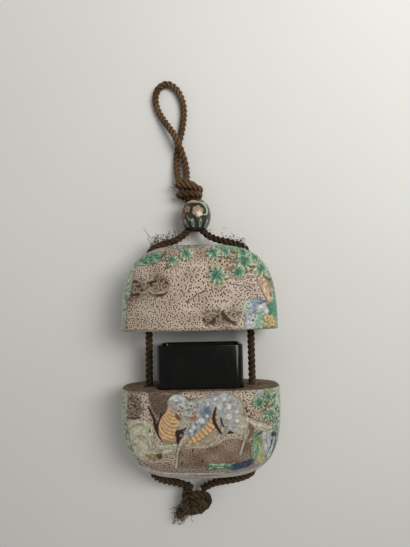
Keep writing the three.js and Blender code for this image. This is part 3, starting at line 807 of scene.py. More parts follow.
def lid_relief(glaze):
    """Clouds on the left and below, and a maple tree that leans in from rocks on the right."""
    ground(glaze, "lid")
    cloud(
        glaze, [(-26, 29.6), (-22.6, 31.2), (-19, 30.4), (-16.2, 32.4), (-12.6, 31), (-11, 27.6), (-13.4, 24),
                (-18.4, 24.4), (-22, 23.2), (-26, 22.6)],
        [((-24.4, 27.2), 1.9, 0.5, 1), ((-16.4, 27.4), 1.7, 2.6, -1), ((-12.6, 27.8), 1.7, 1.2, 1),
         ((-21, 28.6), 1.3, 3.6, 1)],
        [[(-25.6, 24.9, 0.4), (-22.6, 25.3, 0.6), (-21, 26.6, 0.3)],
         [(-19.6, 29.8, 0.4), (-17.4, 29.2, 0.8), (-16, 29.8, 0.5)],
         [(-16.6, 25.4, 0.3), (-14.4, 24.4, 0.5), (-12, 25.2, 0.25)],
         [(-26, 29.8, 0.3), (-23.6, 30.2, 0.4), (-21.4, 29.4, 0.2)]],
        [[(-24, 31, 0.2), (-21.4, 29.9, 0.32), (-18.6, 30.2, 0.3), (-16.4, 32.4, 0.25)],
         [(-18.8, 26.6, 0.2), (-16.8, 25.4, 0.3), (-13.6, 25.6, 0.34), (-11, 26.4, 0.2)],
         [(-25.4, 22.8, 0.2), (-22.2, 23.4, 0.3), (-18.6, 24.9, 0.2)],
         [(-23, 26, 0.2), (-20.4, 25.6, 0.34), (-18, 27.6, 0.2)]],
    )
    cloud(glaze, [(0.8, 15.6), (3, 18.4), (7.4, 18.8), (9.8, 17.4), (13.6, 18.8), (15, 16.4), (13.8, 13.2),
                  (9.6, 13.6), (5, 12.8), (2, 13.2)],
          [((13.1, 16.8), 1.7, 0.4, -1), ((7.6, 14.8), 1.3, 1.9, 1), ((3.2, 15.4), 1.5, 3.4, -1)],
          [[(8.9, 18, 0.5), (9.5, 16.2, 0.8), (11.6, 14.4, 0.8), (13.6, 13, 0.4)],
           [(2.2, 15, 0.6), (4.8, 14.4, 0.9), (7, 16.2, 0.6)]],
          [[(10, 18.9, 0.18), (12.6, 19.4, 0.25), (15, 17.4, 0.2)],
           [(10.8, 16.4, 0.2), (12.4, 14.9, 0.34), (14.6, 14.6, 0.2)],
           [(1.6, 16.6, 0.2), (4, 17.4, 0.3), (6.6, 17.2, 0.2)]])
    foliage(glaze,
            [(-24.4, 36.8), (-23.4, 39.2), (-20, 41.4), (-15.6, 42), (-14, 39.8), (-15, 37.8), (-19.4, 36.5)],
            4, [TEAL, DEEP_TEAL, SEA_GREEN, MINT], 1.6, 16)
    foliage(glaze, [(-26.8, 24), (-26, 28), (-25.2, 32.4), (-24.6, 35.6), (-28, 37), (-31, 34), (-35, 28),
                    (-34, 24)], 5, ["#bcc9ae", LEAF_RIM, "#e0ddc9", TEAL], 1.4, 30)
    foliage(glaze, [(-28.4, 11.4), (-28, 18), (-28.2, 23), (-34, 23), (-35, 17), (-34, 11.4)], 14,
            ["#cfd0ba", "#e0ddc9", MINT, UMBER], 1.3, 30)
    foliage(glaze, [(-9, 43), (-2, 43.4), (2, 43.6), (4, 46), (-4, 46.6), (-12, 45)], 15,
            [SEA_GREEN, INK, MINT], 1.8, 6)
    foliage(glaze, [(5, 42.6), (10, 41), (16, 41.2), (22, 40.4), (25.6, 37), (28, 38), (25, 43), (18, 46),
                    (8, 46.6)], 16, [SEA_GREEN, TEAL, MINT, TEAL], 2.0, 22)
    foliage(glaze, [(26, 37), (26.6, 31.6), (27.9, 25), (27.9, 20.4), (33, 20), (36, 26), (33, 36)], 6,
            [SEA_GREEN, LEAF_RIM, MINT, TEAL, DARK_UMBER], 1.6, 26)
    for twig in [
        [(4, 37, 0.3), (4.2, 34.6, 0.35), (5, 32.4, 0.3)],
        [(9.4, 29.6, 0.22), (12, 28.2, 0.24), (15.2, 27.7, 0.24), (18.7, 27.2, 0.2), (19.6, 28, 0.12)],
        [(10.4, 29.9, 0.25), (12.6, 30.8, 0.22), (15, 31.2, 0.2)],
        [(18.6, 31.4, 0.3), (20.4, 30.8, 0.28), (22.6, 32.2, 0.3)],
        [(2, 25.4, 0.16), (-1, 24.4, 0.24), (-2.6, 23, 0.2), (-4.8, 22, 0.25)],
        [(-4.4, 22, 0.2), (-4.2, 19.4, 0.1)],
        [(-12.8, 41.8, 0.4), (-12.6, 39.4, 0.45), (-11.8, 37, 0.35), (-12.6, 34.4, 0.25)],
    ]:
        glaze.line(twig, "#5b4a2c", 0.5, 0.85, 0.25)
    for x, y in [(16.4, 34.8), (19.6, 34.8), (18.2, 33), (23.2, 30.4), (27.4, 30.2), (19.8, 36.6)]:
        glaze.lay(soft(0.8 - glaze.away(x, y), 0.4), INK, 0.95)
    for x, y, tint in [
        (21.6, 37, CREAM), (20.2, 33.6, YELLOW), (12.6, 34.4, OCHRE), (10.6, 33.8, OCHRE), (17.6, 34, LIME),
        (-11, 35, OCHRE), (-6.8, 38.6, OCHRE), (-8, 35.6, YELLOW), (4.4, 35.6, YELLOW), (12.6, 37.6, PEACH),
    ]:
        glaze.line([(x - 0.3, y, 0.5), (x + 0.4, y + 0.2, 0.5)], tint, 0.6, 0.9)
    leaf_shadows(glaze, LID_LEAVES)
    mixed = [YELLOW, OCHRE, INK, MINT, SEA_GREEN, CREAM, "#7b6236", INK]
    leaflets(glaze, [(3, 42), (10, 41.4), (22, 41), (27, 35), (27.6, 29), (23, 29.6), (19, 33.6), (12, 34),
                     (8, 37), (4, 36)], 21, mixed, 1.7, 90)
    leaflets(glaze, [(2.6, 35.6), (12, 35), (13, 29), (8, 27), (2.4, 29)], 22, [YELLOW, OCHRE, INK, CREAM],
             1.6, 14)
    leaflets(glaze, [(-14, 42.6), (-1, 43), (-2, 38), (-13.4, 34)], 23, [SEA_GREEN, OCHRE, INK, "#7b6236"],
             1.4, 12)
    trunk = [(23.8, 30, 1.2), (25.1, 28.4, 1.7), (25.9, 25.4, 1.3), (27, 22, 0.8)]
    # Painted shadow of the trunk, offset to its left.
    glaze.lay(soft(glaze.in_line([(x - 0.4, y, r + 0.2) for x, y, r in trunk]), 0.3), INK, 0.75)
    depth, along = glaze.line(trunk, PEACH, 1.2)
    glaze.lay(soft(depth) * np.clip(1.4 - 2.4 * along, 0, 1), "#a67c53", 0.6)
    glaze.lay(soft(depth) * np.clip(1.5 * glaze.ripple(2.4, 8) + 0.2, 0, 1), "#cdbfa6", 0.8)
    glaze.lay(soft(depth) * np.clip(1.8 * ripple(2 * glaze.u, 0.5 * glaze.y, 1.8, 9) - 0.6, 0, 1), "#7a5a3a",
              0.8)
    for x, y in [(27.6, 24.2), (28.2, 27.8)]:
        glaze.line([(x, y + 0.5, 0.5), (x, y - 0.5, 0.5)], OCHRE, 1.2)
    marbled(glaze, glaze.in_patch([(16.6, 12), (16.4, 17), (17.2, 21.4), (20, 22.4), (24, 22), (26.4, 20.4),
                                   (29, 20.6), (30.5, 16), (30, 12)]), [SEA_GREEN, INK, MINT, DEEP_TEAL], 1.6,
            81, 0.5)
    rock(
        glaze, [([(17.6, 12), (18, 15.8), (20, 16.8), (21.8, 15.4), (21.6, 12)], [LILAC, WHITE_GLAZE], 0.8),
                ([(19, 17.8), (19.2, 20.4), (21.4, 22.2), (24, 21.6), (25.4, 20.8), (23.6, 19.2), (21.6, 17)],
                 [COBALT, "#3a4f7d"], 1.3),
                ([(22.2, 17), (22.8, 19.8), (25, 20.4), (26, 17.8), (24, 16)], [WHITE_GLAZE, LILAC], 1.2),
                ([(20.8, 12), (21, 15.8), (23.2, 18), (25, 16.2), (24.6, 12)], [SEA_GREEN, MINT], 1.1),
                ([(27.2, 16.4), (27, 20.4), (28.8, 21.2), (31.4, 20), (31.4, 16.4)], [TEAL, DEEP_TEAL], 0.8)],
    )
    foliage(glaze, [(16.8, 17), (16.8, 20.4), (18.8, 21.8), (19.8, 20), (19.4, 17)], 7,
            [SEA_GREEN, WHITE_GLAZE, DEEP_TEAL], 1.3, 8)
    marbled(glaze, glaze.in_patch([(24.6, 12.2), (24.8, 14.6), (26, 16.4), (28.4, 15.8), (29.4, 12.2)]),
            [YELLOW, OCHRE, CREAM], 1.6, 77, 0.6)
    for x, y in [(25.8, 15.2), (27.8, 13.4)]:
        # Painted shadow under the flower, set a little below it.
        glaze.lay(soft(1.65 - glaze.away(x, y - 0.2), 0.4), INK, 0.6)
        flower(glaze, x, y, 1.5, 5, YELLOW, "#5a3d1e", 0.8)
    for x, y in [(19.5, 16.7), (20.9, 15.8), (19.9, 14.6)]:
        glaze.line([(x, y, 0.32), (x + 0.3, y - 0.2, 0.28)], INK, 0.9)


def dappled(glaze, depth):
    """A pale grey hide, blue and brown in places, over which round white spots are drawn."""
    share = soft(depth, 0.3)
    glaze.lay(share, HIDE)
    glaze.height += 0.12 * share * glaze.ripple(1.9, 64)
    glaze.dapple = np.maximum(glaze.dapple, share)
    for tint, grain, seed, cover in (
        ("#7d8d99", 2.8, 67, 0.6), ("#bfae9a", 3.2, 68, 0.85), ("#d6d6d0", 1.7, 69, 0.8),
        ("#7d6a5b", 2.3, 70, 0.6),
    ):
        glaze.lay(share * np.clip(1.7 * glaze.ripple(grain, seed) - 0.35, 0, 1), tint, cover)


def spot(glaze, x, y, size):
    """One large pale spot of the hide, ringed in blue-grey."""
    away = glaze.away(x, y)
    glaze.lay(soft(size + 0.35 - away, 0.4), COBALT_GREY, 0.7)
    glaze.lay(soft(size - away, 0.5), "#ced1cc", 0.95)
    glaze.height += 0.14 * soft(size - away, 0.8)


def limb(glaze, stops, top, tint, outline=0.3):
    """A rounded limb, with a thin dark line where it stands off the ground, and a painted highlight along its
    upper left side when it has a tint.
    """
    wide = [(x, y, r + outline) for x, y, r in stops]
    glaze.lay(soft(glaze.in_line(wide), 0.4), DARK_UMBER, 0.55)
    depth, along = glaze.line(stops, None, top)
    if tint:
        glaze.lay(soft(depth, 0.3), tint)
        glaze.lay(soft(depth, 0.3) * np.clip(1.6 * glaze.ripple(1.9, 61), 0, 1), "#8b7f6b", 0.8)
        glaze.height += 0.15 * soft(depth, 0.3) * glaze.ripple(1.7, 65)
        # Painted highlight: a pale line along the limb's upper left side.
        glaze.line([(x - 0.3 * r, y + 0.35 * r, 0.22 * r) for x, y, r in stops], "#d0c8b4", top + 0.05, 0.75,
                   0.2)
    return depth, along


def ribs(glaze, depth, turns):
    """Rounded orange bands, with painted shade where one meets the next and a painted highlight along each
    crest. Turns counts the bands.
    """
    share = soft(depth, 0.3)
    wave = np.cos(2 * math.pi * turns)
    glaze.lay(share, ORANGE)
    glaze.lay(share * np.clip(1.4 * glaze.ripple(4, 62), 0, 1), PEACH, 0.8)
    # Painted shade in the troughs between bands, and a painted highlight on the crests.
    glaze.lay(share * np.clip(-wave, 0, 1) ** 1.6, SHADED_ORANGE, 0.85)
    glaze.lay(share * np.clip(wave, 0, 1) ** 3, "#dcc39c", 0.6)
    glaze.height += share * 0.22 * wave


def recess(glaze, depth, sunk=0.5):
    """A deep place between limbs, sunk and laid with a near-black red-brown: painted shade of the undercut.
    """
    glaze.height -= sunk * soft(depth, 0.9)
    glaze.lay(soft(depth, 0.45), UNDERCUT_SHADE)


def beast(glaze):
    """It walks left and looks back over its shoulder: dappled hide, banded orange chest, cream legs."""
    u, y = glaze.u, glaze.y
    for strand in [
        [(-19.2, -16.2, 0.25), (-18.4, -18.2, 0.5), (-17.2, -20.6, 0.6), (-16.4, -23.8, 0.85),
         (-15.5, -26.6, 0.4), (-14, -28.8, 0.25)],
        [(-14.5, -18.8, 0.4), (-15, -20.8, 0.5), (-15.8, -23.2, 0.6)],
    ]:
        recess(glaze, glaze.in_line(strand), 0.3)
    glaze.line([(-16.4, -19.4, 0.15), (-16.1, -21.2, 0.3), (-16.3, -22.2, 0.15)], "#8d7568", 0.3)
    recess(glaze, glaze.in_patch([(-3.2, -22.9), (-7.9, -24.1), (-9.8, -25.8), (-9.6, -28), (-8.1, -30.3),
                                  (-6.7, -28.8), (-6.8, -27.2), (-5, -26.1), (-3, -25.5)]))
    recess(glaze, glaze.in_patch([(9.6, -23.2), (10.6, -22.9), (13, -25.8), (9.2, -26.2)]))
    glaze.line([(-6.4, -25, 0.2), (-4.8, -24.6, 0.4), (-3.2, -24.2, 0.3)], "#8b746c", 0.4)
    glaze.line([(-7.4, -26.6, 0.5), (-7.2, -26.6, 0.5)], "#85817c", 0.5)
    limb(glaze, [(-17.8, -27.4, 0.5), (-17.5, -29.4, 0.45), (-16.9, -31.6, 0.4), (-15.4, -32.4, 0.5)], 0.9,
         "#a8a08a")
    limb(glaze, [(9.4, -23.4, 2.0), (7.4, -26.4, 1.0), (5.2, -29, 0.55), (2.2, -30.8, 0.45)], 1.1, "#aea491")
    tail = [(14.8, -18.6, 0.5), (16.2, -21.2, 1.0), (18.6, -23, 1.5), (21.6, -24.2, 1.5), (24, -25, 1.2),
            (25.8, -25.2, 0.6)]
    limb(glaze, tail, 1.1, "#bdb8a2")
    glaze.height += 0.14 * soft(glaze.in_line(tail)) * np.cos(3 * u + 6 * y)
    hollow = glaze.in_patch([(17.6, -22.6), (19.6, -24.4), (19, -26.8), (17.2, -29), (16.6, -26)])
    glaze.lay(soft(hollow, 0.6), UMBER, 0.9)
    glaze.height -= 0.5 * soft(hollow, 0.8)
    body, _ = limb(
        glaze, [(-1.4, -18.2, 3.9), (2.6, -18.6, 4.7), (6.8, -17.4, 4.7), (10.2, -17.4, 5), (11, -19.2, 4.4)],
        2.0, None,
    )
    dappled(glaze, body)
    haunch, _ = limb(glaze, [(11, -20.6, 4.1), (13.6, -23.4, 2.9), (16, -25.8, 1.5)], 2.2, None)
    dappled(glaze, haunch)
    glaze.lay(soft(haunch - 0.2, 1.6) * soft(u - 13.2, 2.4), "#bdb4a2", 0.8)
    shoulder, _ = limb(glaze, [(-0.6, -20.4, 3.3), (-2.2, -23.4, 2.4), (-4.6, -26.2, 1.7)], 2.3, None)
    dappled(glaze, shoulder)
    glaze.lay(soft(shoulder - 0.4, 1) * np.clip(1.8 * glaze.ripple(2.3, 63) + 0.45, 0, 1), "#4f6b8c", 0.8)
    glaze.lay(soft(body, 1) * soft(2.2 - np.hypot((u - 1.4) / 1.4, y + 16.4), 1.4), LILAC, 0.6)
    glaze.lay(soft(body, 1) * soft(1.6 - np.hypot(u - 2.2, (y + 18.6) / 1.6), 1.2), "#4f6a90", 0.8)
    for x, up, size in [
        (-1.2, -21.8, 0.7), (-3.6, -25, 0.7), (2.2, -19.9, 0.6), (6.8, -16.5, 1.05), (10.3, -16.7, 1.0),
        (10.3, -20.2, 1.1), (13.1, -18.6, 0.85), (0.2, -21.4, 1.1), (5.1, -13.7, 0.8), (8.6, -13.9, 0.95),
        (13.2, -21.8, 0.8), (-2.8, -23.6, 0.8), (2.6, -15.4, 0.8),
    ]:
        spot(glaze, x, up, size)
    band, place = limb(glaze, [(-4, -28.9, 0.8), (-1.6, -27.5, 1.3), (0.9, -25.7, 1.5), (3.2, -23.6, 1.6),
                               (4.6, -21, 1.2), (4.6, -18.6, 0.5)], 1.8, None)
    ribs(glaze, band, 9 * place)
    for stops in [
        [(5.6, -16.8, 0.3), (4.9, -19, 0.6), (4.7, -21.4, 0.65), (5.7, -23.8, 0.6), (7.2, -26, 0.45)],
        [(7.3, -20.4, 0.25), (7.5, -22, 0.4), (8.2, -23.8, 0.25)],
    ]:
        depth = glaze.in_line(stops)
        # Sunk grooves, laid with the same painted shade.
        glaze.height -= 0.8 * soft(depth, 0.8)
        glaze.lay(soft(depth, 0.4), UNDERCUT_SHADE)
    glaze.line([(10.8, -12.7, 0.2), (13.4, -14.4, 0.36), (14.7, -17.6, 0.4), (15, -21.8, 0.3)], "#b99f78",
               2.2, 0.85)
    limb(glaze,
         [(-5.4, -27.4, 1.3), (-7.4, -29.7, 0.8), (-8.6, -32.4, 0.45), (-9, -35.6, 0.34), (-9.4, -38.6, 0.5)],
         1.3, "#b3a791")
    limb(glaze, [(16.6, -25.8, 1.1), (16.1, -28, 0.6), (15, -31.2, 0.42), (14.1, -34, 0.55)], 1.2, "#b3a898")
    chest = glaze.in_patch(
        [(-12, -16.4), (-12.9, -18.5), (-14.3, -20), (-15.3, -22.6), (-15.5, -24.9), (-15, -27),
         (-13.6, -28.9), (-11, -29.4), (-9.2, -28.3), (-9.6, -25.8), (-8.6, -23.8), (-7.3, -21.8),
         (-7.6, -19.6), (-9, -16.6)]
    )
    glaze.lay(soft(chest + 0.3, 0.3), DARK_UMBER, 0.8)
    glaze.raise_to(2.2 * np.sqrt(np.clip(chest / 3.4, 0, 1)))
    sag = (0.08 + 0.02 * np.clip(y + 26, 0, 7)) * (u + 9.8) ** 2
    ribs(glaze, chest, (y - sag) / 1.36 + 0.1 * glaze.ripple(5, 66))
    glaze.lay(soft(chest) * soft(-28.2 - y, 1.6), "#8f8a5e", 0.7)
    marbled(
        glaze, glaze.in_patch([(-8.2, -19.4), (-5.6, -19.4), (-3.6, -20.6), (-3.2, -23.2), (-5.8, -23.8),
                               (-8.4, -24.4)]), ["#b3a795", "#8a8072", "#c9c2b0", "#766a5c"], 1.1, 77, 1.4,
    )
    mane(glaze)
    head(glaze)


def mane(glaze):
    """Pale curls down the neck and along the back."""
    for i, (x, y) in enumerate(
        [(-1.8, -13.6), (0.8, -13.6), (3.4, -12.6), (6, -12.2), (8.6, -12), (11.2, -12.6)]
    ):
        lock = [(x - 1.3, y - 1.1, 0.4), (x - 0.3, y, 0.55), (x + 1, y - 0.3, 0.4), (x + 1.1, y - 1.2, 0.2)]
        glaze.line(lock, (LILAC, WHITE_GLAZE, "#93a3a2")[i % 3], 2.3, 0.75, 0.4)
    strokes(glaze, [(-2.4, -16.8), (0, -15.2), (2.6, -14)], 1.3,
            ["#b5b48e", LILAC, WHITE_GLAZE, "#7f8c92", "#a9a58c"], 79, 34, 1.2, 0.15, 0)
    for k in range(6):
        x = -9.8 + 1.5 * k
        lock = [(x, -19.4 - 0.4 * (k % 3), 0.2), (x + 0.4, -17.8, 0.4), (x + 1.2, -16.4, 0.3)]
        glaze.line(lock, (MINT, WHITE_GLAZE, "#8a9aa0")[k % 3], 2.5, 0.8, 0.35)


def head(glaze):
    """The head, turned back: crest, brow, muzzle, small dark eyes, a red-brown mouth and an ochre beard."""
    skull, _ = limb(
        glaze, [(-11, -14.8, 1.2), (-8.8, -15, 2.2), (-5.8, -16, 2.7), (-3.4, -16.8, 2.2)], 2.9, None,
    )
    muzzle, _ = limb(glaze, [(-5, -17.4, 1.9), (-3.6, -19.2, 1.7), (-2.4, -20.6, 1.1)], 3.2, None, 0.2)
    face = soft(np.maximum(skull, muzzle), 0.3)
    glaze.lay(face, "#a5a09b")
    for tint, grain, seed in (
        (LILAC, 2.6, 71), (WHITE_GLAZE, 2.0, 72), ("#8f9e98", 1.8, 73), ("#7c716b", 1.5, 74),
    ):
        glaze.lay(face * np.clip(1.6 * glaze.ripple(grain, seed) - 0.1, 0, 1), tint, 0.8)
    glaze.height += 0.12 * face * glaze.ripple(1.6, 75)
    for patch, tints, seed in [
        ([(-11.6, -14.8), (-9.4, -14.8), (-7.8, -16.6), (-8.2, -18.6), (-10.6, -18), (-12, -16.6)],
         ["#ab9a92", LILAC, "#a39189"], 76),
        ([(-3.4, -18.4), (-2.2, -17.9), (-1.2, -18.8), (-1.3, -20.2), (-2.4, -20.9), (-3.6, -20.2)],
         ["#a99187", "#94705f", "#b5a79d"], 78),
    ]:
        marbled(glaze, glaze.in_patch(patch), tints, 1.1, seed, 0.15)
    strokes(glaze, [(-10.6, -14), (-8, -14.4), (-5.6, -15.4)], 0.9,
            ["#6f8f92", "#e6ecea", LILAC, "#7b8c8a", "#dfe4e2"], 80, 26, 0.8, 0.14, 0)
    for stops, tint, top in [
        ([(-11.6, -14, 0.3), (-10, -13, 0.7), (-8.2, -12.8, 0.85), (-6, -13.4, 0.5)], WHITE_GLAZE, 3.2),
        ([(-5.6, -12.7, 0.2), (-4, -13.8, 0.34), (-2.3, -13.6, 0.25)], "#7a5c3c", 2.9),
        ([(-8.4, -15.9, 0.3), (-7, -15.7, 0.45), (-5.6, -16.3, 0.25)], WHITE_GLAZE, 3.4),
        ([(-4.8, -15.2, 0.25), (-3.6, -15, 0.4), (-2.4, -15.6, 0.25)], WHITE_GLAZE, 3.4),
        ([(-6.9, -16.9, 0.62), (-6.6, -16.9, 0.62)], "#c9c6bd", 3.3),
        ([(-6.8, -16.9, 0.36), (-6.6, -16.9, 0.36)], INK, 3.45),
        ([(-3.7, -16.2, 0.58), (-3.4, -16.2, 0.58)], "#c9c6bd", 3.3),
        ([(-3.6, -16.2, 0.34), (-3.4, -16.2, 0.34)], INK, 3.45),
        ([(-5.4, -18.2, 0.3), (-4.6, -18.9, 0.55), (-3.4, -18.5, 0.5), (-2.7, -18.9, 0.25)], "#b9b3a8", 3.6),
        ([(-4.3, -18.7, 0.22), (-4.1, -18.7, 0.22)], INK, 3.6),
        ([(-2.9, -18.7, 0.22), (-2.7, -18.8, 0.22)], INK, 3.6),
        ([(-8.8, -16.4, 0.1), (-7.6, -18.1, 0.2), (-6, -19.2, 0.22), (-3.4, -19.8, 0.12)], "#cdbf97", 3.5),
        ([(-5.2, -17.6, 0.2), (-4.4, -17.5, 0.35), (-3.8, -17.8, 0.2)], "#5e8580", 3.5),
        ([(-4.2, -20.1, 0.2), (-3, -20.4, 0.4), (-1.8, -20, 0.25)], "#94604a", 3.4),
        ([(-3.6, -21.2, 0.3), (-2.4, -21.2, 0.45), (-1.6, -20.6, 0.25)], "#b08468", 3.2),
        ([(-9, -18.9, 0.4), (-8.5, -20, 0.75), (-7.6, -20.8, 0.4)], "#6f4f2f", 2.8),
        ([(-6.4, -19.6, 0.3), (-6.2, -21, 0.5), (-5.6, -22.2, 0.2)], "#a3a396", 2.6),
        ([(-7.6, -16.2, 0.2), (-7.3, -16.2, 0.2)], INK, 3.2),
        ([(-8.2, -17.8, 0.3), (-7.9, -17.9, 0.3)], DARK_UMBER, 3.1),
    ]:
        glaze.line(stops, tint, top, 0.95, 0.22)


def lower_relief(glaze):
    """The beast before a sea and a smoky sky, between trees and rocks. The foot is plain and pale."""
    ground(glaze, "lower_case")
    u, y = glaze.u, glaze.y
    glaze.soil = np.clip(glaze.soil - 0.05, 0, 1)
    smoke = glaze.in_patch(
        [(-19.4, -11), (-18.8, -15), (-17.4, -18.4), (-15, -20), (-11.6, -18.4), (-10.6, -14), (-7, -11)]
    )
    glaze.lay(soft(smoke, 1.4), "#624a3c", 0.85)
    streaks = np.clip(1.5 * ripple(0.5 * u + y, 0.3 * y - u, 1.3, 21), -0.1, 1) + 0.1
    glaze.lay(soft(smoke, 1.2) * streaks, "#37291f", 0.8)
    glaze.lay(soft(smoke, 1.2) * np.clip(1.5 * glaze.ripple(1.6, 22) - 0.6, 0, 1), "#8d7a6a", 0.6)
    hill = [(-8, -31), (-3, -30.8), (2.6, -30.6), (6, -29.6), (9, -28), (13, -28), (17, -29), (19.4, -32),
            (19.6, -36), (14, -38), (4, -37.8), (-4, -38.6), (-9, -38)]
    fine = glaze.in_patch(hill)
    glaze.soil = np.clip(glaze.soil + 0.6 * soft(fine, 1.4), 0, 1)
    glaze.plan[fine > 0] *= 1.5
    glaze.lay(soft(-36.8 - y, 2) * soft(25 - np.abs(u), 3), "#7d6a5a", 0.5)
    foot = glaze.in_patch(
        [(-26, -38.4), (-20, -40), (-12, -41), (0, -41.6), (12, -41.2), (20, -39.8), (26, -38), (34, -38),
         (40, -80), (-40, -80), (-34, -38)]
    )
    glaze.lay(soft(foot, 0.5), "#b3aaa0", 0.9)
    glaze.height += 0.1 * soft(foot, 0.5)
    bank = glaze.in_patch(
        [(-7, -30.6), (-3.6, -28.6), (0.6, -26.8), (3.8, -24.8), (5.6, -25.4), (7.8, -26.8), (9.4, -27.4),
         (6, -29.6), (2, -30.8), (-3, -31.2)]
    )
    marbled(glaze, bank, ["#a5977f", "#93907a", CREAM], 2.4, 34, 0.25, 1.2)
    sea = glaze.in_patch(
        [(-28.6, -22.6), (-25, -21.4), (-21, -21.2), (-18.2, -22.6), (-17.2, -26), (-15.8, -29.6),
         (-9, -29.8), (-8.6, -31), (-12, -33), (-17, -33.4), (-20.6, -36), (-26, -34), (-28, -30)]
    )
    marbled(glaze, sea, [SEA_FOAM, "#b8b298", "#adae95", "#cdc4ad"], 3.4, 31, 0.5)
    lattice = np.minimum(np.abs(((u + y) / 3.1) % 1 - 0.5), np.abs(((u - y) / 3.1) % 1 - 0.5))
    mesh = soft(sea, 0.8) * soft(0.07 - lattice, 0.12) * soft(-19.4 - u, 2)
    glaze.lay(mesh, "#d3d0bb", 0.55)
    glaze.height += 0.12 * mesh
    for stops, tint, top in [
        ([(-27, -25, 0.2), (-23, -22.6, 0.35), (-20.4, -24, 0.3), (-19.4, -27.4, 0.2)], "#8f9a7c", 0.8),
        ([(-25.6, -29, 0.2), (-22, -26.8, 0.3), (-19.6, -29, 0.3), (-19.4, -31.6, 0.2)], "#8f9a7c", 0.8),
        ([(-15.2, -31.9, 0.3), (-12.6, -31.2, 0.65), (-9.6, -30.8, 0.5)], "#b3ab92", 0.9),
        ([(-22, -33.2, 0.3), (-18, -34.9, 0.4), (-13, -34.9, 0.35)], CREAM, 0.7),
        ([(-22, -36.8, 0.3), (-17, -36.4, 0.42), (-11.6, -36.1, 0.35), (-9.4, -37.6, 0.3)], CREAM, 0.6),
        ([(-7, -31.6, 0.2), (-3, -31, 0.25), (1.6, -31, 0.35), (5.4, -30, 0.45), (8.8, -27.9, 0.4),
          (13.3, -28, 0.3), (17, -29.4, 0.25)], CREAM, 0.8),
        ([(-24, -38.9, 0.35), (-17, -40.6, 0.4), (-9, -41.2, 0.35), (1, -41.4, 0.3), (8, -41.2, 0.25)],
         "#d3c3ac", 0.5), ([(-6, -42, 0.1), (1, -42.4, 0.3), (7, -42.2, 0.1)], "#5d4a40", 0.3),
        ([(8, -40.6, 0.3), (14, -40.3, 0.5), (20, -39, 0.3)], "#8b8f8c", 0.3),
        ([(-15.6, -12, 0.2), (-12.6, -11.6, 0.35), (-9.6, -12, 0.2)], "#8d7a6a", 0.7),
    ]:
        glaze.line(stops, tint, top, 0.9, 0.35)
    marbled(
        glaze, glaze.in_patch([(-21.4, -33.8), (-17, -33.4), (-14, -33.9), (-14.6, -35.2), (-18.6, -35.6)]),
        ["#8f8456", OCHRE, "#a5a277"], 1.5, 33, 0.4,
    )
    glaze.lay(soft(1.0 - glaze.away(-15.4, -34.2), 0.5), INK, 0.8)
    cloud(glaze, [(-28.4, -14), (-26, -12.8), (-22.6, -13.4), (-21.6, -16), (-22.6, -20), (-26, -20.6),
                  (-28.4, -18)],
          [((-26.2, -17), 2.0, 0.3, 1), ((-23, -14.6), 1.0, 2.0, -1), ((-23, -18.6), 0.9, 3.0, 1)],
          [[(-28, -20.6, 0.3), (-25.4, -20.9, 0.4), (-22.4, -20.2, 0.25)]], [])
    strokes(glaze, [(-27, -32.4), (-24.6, -36.4), (-19, -39.4)], 0.6,
            [CREAM, INK, "#8f8456", SEA_FOAM, CREAM], 98, 34, 1.6, 0.2, 0)
    strokes(glaze, [(-19, -32), (-14, -31), (-9.4, -30.6)], 0.7, ["#c3baa0", "#8f9a7c", "#a39c80"], 99, 14,
            1.8, 0.16, 0)
    for x, up in [
        (-18.8, -24.8), (-3.2, -32), (-7.2, -36.6), (0.2, -36), (18, -33.2), (16.6, -17.4), (18.4, -19.4),
    ]:
        glaze.line([(x, up + 0.4, 0.2), (x, up - 0.5, 0.3)], INK, 0.1)
    strokes(glaze, [(2.2, -38.7), (7, -38.5), (12.4, -38.3)], 1.2, [TEAL, SEA_GREEN, MINT, DEEP_TEAL, TEAL],
            91, 60, 1.9)
    strokes(glaze, [(11.4, -39), (15, -38.2), (18.8, -37.2)], 1.2, [NAVY, "#34466e", NAVY, "#2b3f5c", NAVY],
            92, 44, 1.9)
    strokes(glaze, [(3, -37.6), (8, -37.4), (12, -37.2)], 0.2, [MINT, "#c2c8ac"], 97, 9, 1.2, 0.18, 0)
    foliage(glaze, [(26.6, -11.2), (26.8, -20), (26.8, -27), (25.6, -33), (24.6, -38), (31, -35), (35, -24),
                    (35, -11.2)], 11, [MINT, LEAF_RIM, TEAL, WHITE_GLAZE, DARK_UMBER], 1.5, 48)
    foliage(glaze, [(-27.2, -11.2), (-28, -19), (-27.6, -26), (-25.8, -33), (-23.4, -38), (-29, -36),
                    (-35, -24), (-34, -11.2)], 12, [LEAF_RIM, "#d3d0bb", MINT, TEAL, CREAM], 1.4, 50)
    marbled(glaze, glaze.in_patch([(19.6, -11.2), (20, -17), (24, -17.6), (27.8, -16), (28, -11.2)]),
            [SEA_GREEN, INK, MINT, WHITE_GLAZE, LIME], 1.5, 83, 0.4)
    marbled(glaze, glaze.in_patch([(20, -12), (20.2, -15.4), (22.6, -16.4), (24, -14), (23.4, -11.4)]),
            [LILAC, WHITE_GLAZE, MINT], 1.8, 43, 0.7)
    marbled(glaze, glaze.in_patch([(23, -11.4), (23.8, -13.4), (26, -13.6), (27, -11.4)]),
            [LIME, "#a3a276", DEEP_TEAL], 1.6, 44, 0.7)
    foliage(glaze, [(20, -15.4), (20.4, -17.2), (23.6, -17.4), (24.6, -15.6), (22.6, -14.8)], 13,
            [TEAL, MINT, DEEP_TEAL], 1.3, 6)
    peach = [(19.6, -19.4, 0.5), (22, -18.9, 0.9), (24.6, -17.6, 0.8), (26.4, -16.4, 0.5)]
    glaze.line(peach, "#b99a80", 0.8)
    for x, up in [(20.6, -19.3), (22.2, -18.8), (23.6, -18.3), (25.2, -17.2)]:
